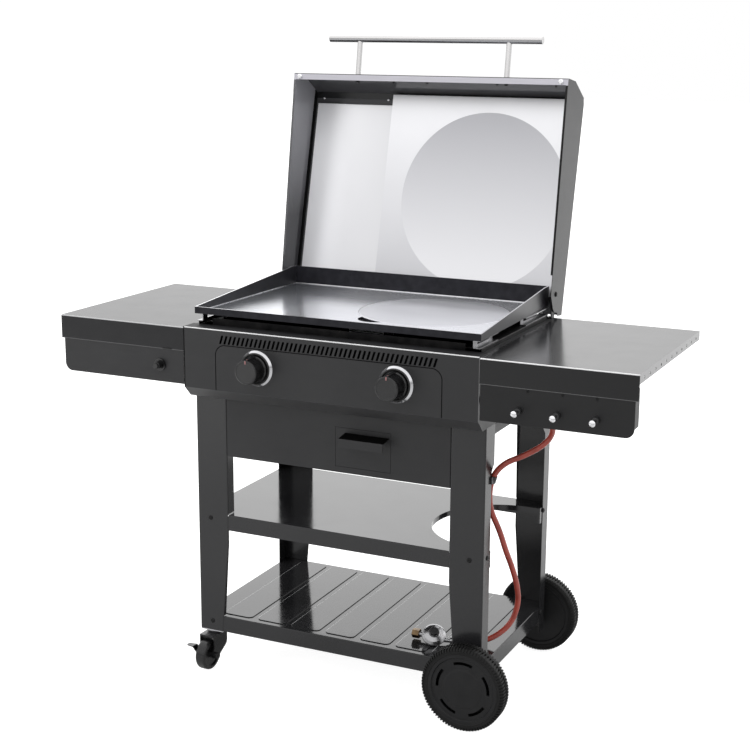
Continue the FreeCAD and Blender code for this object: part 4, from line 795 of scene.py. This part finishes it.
def settle(piece, place, way=None):
    """Points a piece's Z along way, moves it to place and applies both. Y counts from the panel's face."""
    pick(piece)
    if way is not None:
        piece.rotation_euler = Vector(way).to_track_quat("Z", "Y").to_euler()
    piece.location = (place[0], place[1] + PANEL_FACE, place[2])
    bpy.ops.object.transform_apply(location=True, rotation=True, scale=True)
    return piece


def copies(pattern, name, spots):
    """Copies a pattern to each (place, way) and joins the copies into one piece."""
    return joined(name, [settle(twin_of(pattern, name), place, way) for place, way in spots])


def drop(pattern):
    bpy.data.objects.remove(pattern)


def finish_piece(piece, body, finish):
    """Gives a piece its finish, its body and its material slot, and says how big it is."""
    piece.data.materials.clear()
    piece.data.materials.append(finish)
    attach(piece, body)
    print(piece.name, "on", body, "with", len(piece.data.polygons), "faces")


print("pieces can be picked, copied, joined and settled")

# %% Turn a lathe shape and bevel a slab
def turned(name, rings, sides=24):
    """A lathe shape along Z from rings of (height, radius). The last ring is closed by its face."""
    pick()
    height, radius = rings[0]
    bpy.ops.mesh.primitive_circle_add(vertices=sides, radius=radius, fill_type="NGON", location=(0, 0, 0))
    piece = bpy.context.object
    piece.name = name
    bpy.ops.object.mode_set(mode="EDIT")
    bpy.ops.mesh.select_all(action="SELECT")
    bpy.ops.transform.translate(value=(0, 0, height))
    for next_height, next_radius in rings[1:]:
        bpy.ops.mesh.extrude_region_move(TRANSFORM_OT_translate={"value": (0, 0, next_height - height)})
        grow = next_radius / radius
        bpy.ops.transform.resize(value=(grow, grow, 1), center_override=(0, 0, next_height))
        height, radius = next_height, next_radius
    bpy.ops.mesh.select_all(action="SELECT")
    bpy.ops.mesh.normals_make_consistent(inside=False)
    bpy.ops.object.mode_set(mode="OBJECT")
    bpy.ops.object.shade_smooth_by_angle(angle=math.radians(35))
    return piece


def slab(name, size, place):
    """A thin plate with rounded edges, made from a cube that is sized and bevelled."""
    pick()
    bpy.ops.mesh.primitive_cube_add(size=1, location=(place[0], place[1] + PANEL_FACE, place[2]))
    piece = bpy.context.object
    piece.name = name
    bpy.ops.transform.resize(value=size, center_override=piece.location)
    bpy.ops.object.transform_apply(location=True, rotation=True, scale=True)
    bpy.ops.object.mode_set(mode="EDIT")
    bpy.ops.mesh.select_all(action="SELECT")
    bpy.ops.mesh.bevel(offset=min(size) * 0.3, segments=2, affect="EDGES")
    bpy.ops.object.mode_set(mode="OBJECT")
    bpy.ops.object.shade_smooth_by_angle(angle=math.radians(40))
    return piece


print("lathe and slab ready")

# %% [markdown]
# ## Screws
#
# The cart is bolted together with black pan-head screws: two in the face of each leg and two in its side
# flange, where the two shelves are fixed, and six in the back of the body. The head is a low dome with a
# socket, so the dome is turned, and its top face is inset and pushed down for the socket. One screw is
# modelled and copied, and the copies on one body are joined, because they are one purchase item.

# %% One pan-head screw
def pan_head(name, radius, high):
    screw = turned(name, [
        (-0.0004, radius * 0.98), (high * 0.25, radius), (high * 0.6, radius * 0.92),
        (high * 0.88, radius * 0.72), (high, radius * 0.45),
    ])
    bpy.ops.object.mode_set(mode="EDIT")
    bpy.ops.mesh.select_mode(type="FACE")
    bpy.ops.mesh.select_all(action="DESELECT")
    bpy.ops.object.mode_set(mode="OBJECT")
    top = max(screw.data.polygons, key=lambda face: face.center.z)
    top.select = True
    bpy.ops.object.mode_set(mode="EDIT")
    bpy.ops.mesh.inset(thickness=radius * 0.08)
    bpy.ops.mesh.extrude_region_move(TRANSFORM_OT_translate={"value": (0, 0, -high * 0.7)})
    bpy.ops.object.mode_set(mode="OBJECT")
    return screw


leg_screw = pan_head("leg_screw", 0.0058, 0.0028)
print("screw head with", len(leg_screw.data.polygons), "faces")

# %% Screws of the cart
SHELF_SCREWS = (0.389, 0.124)  # heights of the screws in the legs' faces
FLANGE_RISE = 0.003  # and how much higher those in the flanges sit
FACE_X, FRONT_FACE, REAR_FACE = 0.336, 0.049, 0.487
FLANGE_X, FLANGE_DEPTHS = 0.370, (0.0725, 0.453)
BODY_BACK, BODY_HEIGHTS, BODY_PLACES = 0.506, (0.72, 0.845), (-0.25, 0, 0.25)

cart_spots = []
for z in SHELF_SCREWS:
    for x in (-FACE_X, FACE_X):
        cart_spots += [((x, FRONT_FACE, z), FRONT), ((x, REAR_FACE, z), REAR)]
    for y in FLANGE_DEPTHS:
        cart_spots += [((FLANGE_X, y, z + FLANGE_RISE), RIGHT), ((-FLANGE_X, y, z + FLANGE_RISE), LEFT)]
for x in BODY_PLACES:
    cart_spots += [((x, BODY_BACK, z), REAR) for z in BODY_HEIGHTS]
finish_piece(copies(leg_screw, "cart_screws", cart_spots), "cart", black_zinc)

# %% Small screws under the right shelf's front fold
FOLD_PLACES, FOLD_DEPTH, FOLD_HEIGHT = (0.4784, 0.5545, 0.6292), 0.0014, 0.8025

shelf_screw = pan_head("shelf_screw", 0.0036, 0.0016)
fold_spots = [((x, FOLD_DEPTH, FOLD_HEIGHT), FRONT) for x in FOLD_PLACES]
finish_piece(copies(shelf_screw, "fold_screws", fold_spots), "cart", black_zinc)

# %% Screws and nuts inside the lid
NUT_X, NUT_SPOT = 0.2, (0.5083, -0.005)
SLOPE_PLACES, SLOPE_SPOT, SLOPE_WAY = (-0.1205, -0.0286, 0.159, 0.311), (0.4992, 0.0405), (0, -0.52, -0.85)
LINER_PLACES, LINER_SPOT = (-0.344, -0.158), (0.4605, 0.0965)

handle_nut = turned("handle_nut", [
    (0, 0.0088), (0.0012, 0.0088), (0.0014, 0.0076), (0.0075, 0.0076), (0.0085, 0.0068), (0.0087, 0.0052),
    (0.013, 0.0048), (0.0165, 0.0036), (0.0173, 0.0018),
], sides=6)
down_lid = tuple(-v for v in ALONG_LID)
nut_spots = [(lid_point(x, *NUT_SPOT), down_lid) for x in (-NUT_X, NUT_X)]
finish_piece(copies(handle_nut, "handle_nuts", nut_spots), "lid", black_zinc)

slope_spots = [(lid_point(x, *SLOPE_SPOT), SLOPE_WAY) for x in SLOPE_PLACES]
finish_piece(copies(shelf_screw, "slope_screws", slope_spots), "lid", black_zinc)

bright_screw = pan_head("bright_screw", 0.0034, 0.0018)
liner_spots = [(lid_point(x, *LINER_SPOT), OUT_OF_LID) for x in LINER_PLACES]
finish_piece(copies(bright_screw, "liner_screws", liner_spots), "lid", chrome)
for pattern in (leg_screw, shelf_screw, handle_nut, bright_screw):
    drop(pattern)

# %% [markdown]
# ## The weld round the griddle
#
# The griddle's walls are welded to its floor from inside, and the bead is ground smooth, so a thin bright
# line runs along the joint at the back and at both sides. A slender rod laid in the corner shows a quarter
# of its roundness, which is just what a ground bead shows.

# %% Ground weld beads
BEAD = 0.0016
BEAD_HEIGHT = 0.8952
BEAD_FRONT, BEAD_BACK = (0.3558, 0.0375), (0.3438, 0.5048)


def rod_between(name, start, end, radius, sides=16):
    gap = Vector(end) - Vector(start)
    return settle(turned(name, [(0, radius), (gap.length, radius)], sides), start, tuple(gap))


def bead_corner(side, corner):
    return (side * corner[0], corner[1], BEAD_HEIGHT)


for name, start, end in (
    ("weld_left", bead_corner(-1, BEAD_FRONT), bead_corner(-1, BEAD_BACK)),
    ("weld_back", bead_corner(-1, BEAD_BACK), bead_corner(1, BEAD_BACK)),
    ("weld_right", bead_corner(1, BEAD_BACK), bead_corner(1, BEAD_FRONT)),
):
    finish_piece(rod_between(name, start, end, BEAD), "griddle", polished_weld)

# %% [markdown]
# ## Tyres with a block tread
#
# Each big wheel has a solid rubber tyre. Its two shoulders carry rows of small blocks with a groove between
# them. The tyre is a lathe shape first: a profile is spun round the axle. The tread comes from the faces of
# the two shoulder bands, which are selected every second one and extruded outwards. Both tyres are copies
# of one.

# %% Spin the tyre
WHEEL_X, WHEEL_Z = 0.345, 0.100
WHEEL_DEPTHS = {"front": 0.01603, "rear": 0.52003}
TYRE_BLOCKS = 84
TYRE_HALF = 0.020
HUB_EDGE = 0.083
TYRE_BASE = 0.0971
TYRE_OUT = 0.0998


def tyre_section():
    """The tyre's closed outline as (across, radius): one half, its mirror image and the seat on the hub."""
    half = [
        (TYRE_HALF - 0.002, HUB_EDGE), (TYRE_HALF - 0.0006, HUB_EDGE + 0.0016), (TYRE_HALF - 0.001, 0.0868),
        (TYRE_HALF - 0.0004, 0.0885), (TYRE_HALF - 0.0004, 0.0915), (TYRE_HALF - 0.0022, 0.0945),
        (TYRE_HALF - 0.0052, TYRE_BASE), (0.0026, TYRE_BASE), (0.0020, TYRE_BASE - 0.0016),
    ]
    seat = [(TYRE_HALF - 0.002, HUB_EDGE - 0.0004)]
    return half + [(-across, radius) for across, radius in reversed(half)] + [
        (-across, radius) for across, radius in seat] + seat


pick()
bpy.ops.mesh.primitive_circle_add(vertices=3, radius=0.01, fill_type="NOTHING")
tyre = bpy.context.object
tyre.name = "tyre"
bpy.ops.object.mode_set(mode="EDIT")
bpy.ops.mesh.delete(type="VERT")
loop = bmesh.from_edit_mesh(tyre.data)
ring = [loop.verts.new((0, across, radius)) for across, radius in tyre_section()]
for first, second in zip(ring, ring[1:] + ring[:1]):
    loop.edges.new((first, second))
bmesh.update_edit_mesh(tyre.data)
bpy.ops.mesh.select_all(action="SELECT")
bpy.ops.mesh.spin(
    steps=2 * TYRE_BLOCKS, angle=2 * math.pi, center=(0, 0, 0), axis=(0, 1, 0), use_auto_merge=True)
bpy.ops.mesh.select_all(action="SELECT")
bpy.ops.mesh.remove_doubles(threshold=0.00005)
bpy.ops.mesh.normals_make_consistent(inside=False)
bpy.ops.object.mode_set(mode="OBJECT")
print("tyre spun with", len(tyre.data.polygons), "faces")

# %% Raise the tread blocks
SHOULDER = 0.0926
GROOVE_SIDE = 0.003
BLOCK_ANGLE = math.pi / TYRE_BLOCKS


def is_block(face):
    """Every second face of each shoulder, with the two shoulders half a pitch apart."""
    x, y, z = face.center
    turn = math.floor((math.atan2(z, x) % (2 * math.pi)) / BLOCK_ANGLE)
    return math.hypot(x, z) > SHOULDER and abs(y) > GROOVE_SIDE and turn % 2 == (0 if y > 0 else 1)


bpy.ops.object.mode_set(mode="EDIT")
bpy.ops.mesh.select_mode(type="FACE")
bpy.ops.mesh.select_all(action="DESELECT")
bpy.ops.object.mode_set(mode="OBJECT")
for face in tyre.data.polygons:
    face.select = is_block(face)
bpy.ops.object.mode_set(mode="EDIT")
bpy.ops.mesh.extrude_region_shrink_fatten(TRANSFORM_OT_shrink_fatten={"value": TYRE_OUT - TYRE_BASE})
bpy.ops.object.mode_set(mode="OBJECT")
bpy.ops.object.shade_smooth_by_angle(angle=math.radians(25))
for name, y in WHEEL_DEPTHS.items():
    twin = settle(twin_of(tyre, "tyre_" + name), (WHEEL_X, y, WHEEL_Z))
    finish_piece(twin, "wheel_" + name, tyre_rubber)
    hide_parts("wheel_tyre_" + name)
drop(tyre)

# %% [markdown]
# ## Fittings on the hose
#
# A gas hose is crimped at both ends. At the nozzle a black rubber sleeve tapers off along the hose, so that
# it doesn't kink there, with a crimped brass ferrule behind it. At the regulator the ferrule is bright and
# longer.

# %% Ferrules and sleeves
CRIMPED = [
    (0, 0.0082), (0.001, 0.0088), (0.0045, 0.0088), (0.0055, 0.008), (0.0065, 0.0088), (0.0095, 0.0088),
    (0.0105, 0.008), (0.0115, 0.0088), (0.015, 0.0088), (0.016, 0.0076),
]
TAPER = [(0.0195, 0.0075), (0.023, 0.0072), (0.025, 0.0069)]
BEND_SLEEVE = [
    (0, 0.0092), (0.002, 0.0096), (0.006, 0.0096), (0.009, 0.0089), (0.012, 0.0092), (0.015, 0.0084),
    (0.018, 0.0086), (0.021, 0.0078), (0.024, 0.0078), (0.026, 0.0069),
]
SLEEVE_START = 0.014
TAIL_OVERLAP = 0.002


def fitting(name, rings, place, way, finish):
    finish_piece(settle(turned(name, rings), place, way), "cart", finish)


nozzle_end = HOSE_ROUTE[0]
sleeve_start = (nozzle_end[0] + SLEEVE_START, nozzle_end[1], nozzle_end[2])
tail_end = Vector(HOSE_ROUTE[-1])
up_hose = (Vector(HOSE_ROUTE[-2]) - tail_end).normalized()
tail_start = tail_end - up_hose * TAIL_OVERLAP
fitting("nozzle_ferrule", CRIMPED, nozzle_end, RIGHT, brass)
fitting("nozzle_sleeve", BEND_SLEEVE, sleeve_start, RIGHT, knob_plastic)
fitting("tail_ferrule", CRIMPED + TAPER, tuple(tail_start), tuple(up_hose), chrome)

# %% [markdown]
# ## Small plates, sleeves and caps
#
# The pointer on each knob has a small painted stripe. Each hook leaves its panel through a rubber sleeve.
# A thin black plate under the left shelf's fold stands in for the shade in a slot there, and black bars
# behind the skirt are painted shade in the gap round the drawer's front. The regulator's dome is closed by
# a black moulded cap with eight flats, which unscrews for setting the pressure.

# %% Pointer stripes
STRIPE_SIZE, STRIPE_DEPTH, STRIPE_HEIGHT = (0.0045, 0.017, 0.0006), -0.036, 0.8140
TIP_SIZE, TIP_DEPTH, TIP_HEIGHT = (0.0036, 0.0006, 0.0075), -0.0518, 0.8085

for name, x in (("left", -KNOB_X), ("right", KNOB_X)):
    stripe = slab("knob_stripe_" + name, STRIPE_SIZE, (x, STRIPE_DEPTH, STRIPE_HEIGHT))
    finish_piece(stripe, "dial_" + name, stripe_paint)
    tip = slab("knob_tip_" + name, TIP_SIZE, (x, TIP_DEPTH, TIP_HEIGHT))
    finish_piece(tip, "dial_" + name, stripe_paint)

# %% Rubber sleeves behind the hooks
HOOK_SLEEVE = [(0, 0.0072), (0.0006, 0.0076), (0.006, 0.0076), (0.0085, 0.0068), (0.0095, 0.005)]
HOOK_PLACES, HOOK_DEPTH, HOOK_HEIGHT = (0.4595, 0.5447, 0.6301), 0.0013, 0.758

sleeve_pattern = turned("sleeve_pattern", HOOK_SLEEVE)
sleeve_spots = [((x, HOOK_DEPTH, HOOK_HEIGHT), FRONT) for x in HOOK_PLACES]
finish_piece(copies(sleeve_pattern, "hook_sleeves", sleeve_spots), "cart", knob_plastic)
drop(sleeve_pattern)

# %% Painted shade in a slot under the left shelf's fold
SLOT_SHADE_SIZE, SLOT_SHADE_PLACE = (0.026, 0.0008, 0.0034), (-0.4163, 0.0001, 0.8092)

# A thin black plate stands in for the shade inside the slot.
slot_shade_plate = slab("shelf_slot_shade", SLOT_SHADE_SIZE, SLOT_SHADE_PLACE)
finish_piece(slot_shade_plate, "cart", black_zinc)

# %% Painted shade behind the gap round the drawer
GAP_SHADE_DEPTH, GAP_SHADE_THICK, GAP_SHADE_MIDDLE = 0.0508, 0.0009, 0.611
UPRIGHT, CROSSBAR = (0.0075, GAP_SHADE_THICK, 0.102), (0.147, GAP_SHADE_THICK, 0.0095)
# Black bars behind the skirt stand in for the shade in the gap round the drawer's front.
gap_shade_bars = [
    slab("drawer_gap_shade", size, (x, GAP_SHADE_DEPTH, z))
    for size, x, z in (
        (UPRIGHT, 0.00175, GAP_SHADE_MIDDLE), (UPRIGHT, 0.1416, GAP_SHADE_MIDDLE),
        (CROSSBAR, DRAWER_MIDDLE, 0.56475), (CROSSBAR, DRAWER_MIDDLE, 0.65725),
    )
]
finish_piece(joined("drawer_gap_shade", gap_shade_bars), "cart", black_zinc)

# %% Regulator cap
CAP_WAY = Vector((0.257, -0.560, 0.788)).normalized()
DOME_RIM = Vector((0.222, 0.1247, 0.1613))
DOME_HIGH = 0.0105
CAP = [
    (0, 0.0128), (0.0035, 0.0128), (0.0036, 0.0118), (0.009, 0.0112), (0.0103, 0.0102), (0.0104, 0.0088),
    (0.0098, 0.0082), (0.0097, 0.003),
]
cap = settle(turned("regulator_cap", CAP, sides=8), DOME_RIM + CAP_WAY * DOME_HIGH, CAP_WAY)
finish_piece(cap, "cart", knob_plastic)

# %% [markdown]
# ## Studio
#
# A pale floor, a soft white surround and two soft boxes light the station. The surround is brightest behind
# the station, because the tops of the shelves mirror what is behind them, and darker in front, so that the
# upright faces stay charcoal. Seen straight, both are plain and light.

# %% Floor
FLOOR_SIZE = 60
pick()
bpy.ops.mesh.primitive_plane_add(size=FLOOR_SIZE, location=(0, 0, 0))
floor = bpy.context.object
floor.name = "floor"
floor_paint = new_finish("floor_paint", Roughness=0.9, Emission_Color=(1, 1, 1))
seen_straight = Pattern(node(floor_paint.node_tree, "ShaderNodeLightPath").outputs["Is Camera Ray"])
lit_behind = spread(along(floor_paint, REAR), 0.0, 0.6, -0.6, 1.2)
paint(
    floor_paint, Base_Color=tint(grain(floor_paint, 0.4), grey(0.42, 0), grey(0.45, 0)),
    Emission_Strength=(seen_straight * 0.88) | lit_behind,
)
floor.data.materials.append(floor_paint)
print("floor of", FLOOR_SIZE, "m")

# %% Surround
surround = bpy.data.worlds.new("surround")
surround.use_nodes = True
bpy.context.scene.world = surround
sky = surround.node_tree
direction = Pattern(node(sky, "ShaderNodeTexCoord").outputs["Generated"])
axes = node(sky, "ShaderNodeSeparateXYZ", Vector=direction)
to_right, to_back, to_top = (Pattern(axes.outputs[axis]) for axis in "XYZ")

behind = spread(to_back, 0.0, 1.0, -0.3, 0.85) * spread(to_top, 0.64, 1.15, 0.18, 0.34)
behind = behind * spread(to_right, 1.0, 0.75, -0.42, -0.22)
all_round = spread(to_top, 0.44, 1.18, 0.06, 0.28)
plain_backdrop = Pattern(node(sky, "ShaderNodeLightPath").outputs["Is Camera Ray"])
feed(sky.nodes["Background"].inputs["Strength"], (all_round + behind) | plain_backdrop)
feed(sky.nodes["Background"].inputs["Color"], (1, 1, 1))
print("surround with", len(sky.nodes), "nodes")

# %% Soft boxes
def soft_box(name, place, target, width, height, watts):
    light = bpy.data.lights.new(name, "AREA")
    light.shape = "RECTANGLE"
    light.size = width
    light.size_y = height
    light.energy = watts
    box = bpy.data.objects.new(name, light)
    bpy.context.scene.collection.objects.link(box)
    box.location = place
    box.visible_glossy = False
    box.rotation_euler = (Vector(target) - Vector(place)).to_track_quat("-Z", "Y").to_euler()


soft_box("overhead", (-0.8, -0.6, 3.2), (0, 0, 0.6), 2.4, 1.6, 60)
soft_box("floor_pool", (-3.1, -3.2, 1.6), (-3.0, -3.2, 0), 1.6, 1.6, 130)
bpy.context.scene.view_settings.view_transform = "Standard"
print("studio ready")

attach(rubber_hose, "cart")
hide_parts("gas_hose")
start = HOSE_ROUTE[0]
start[1] + PANEL_FACE
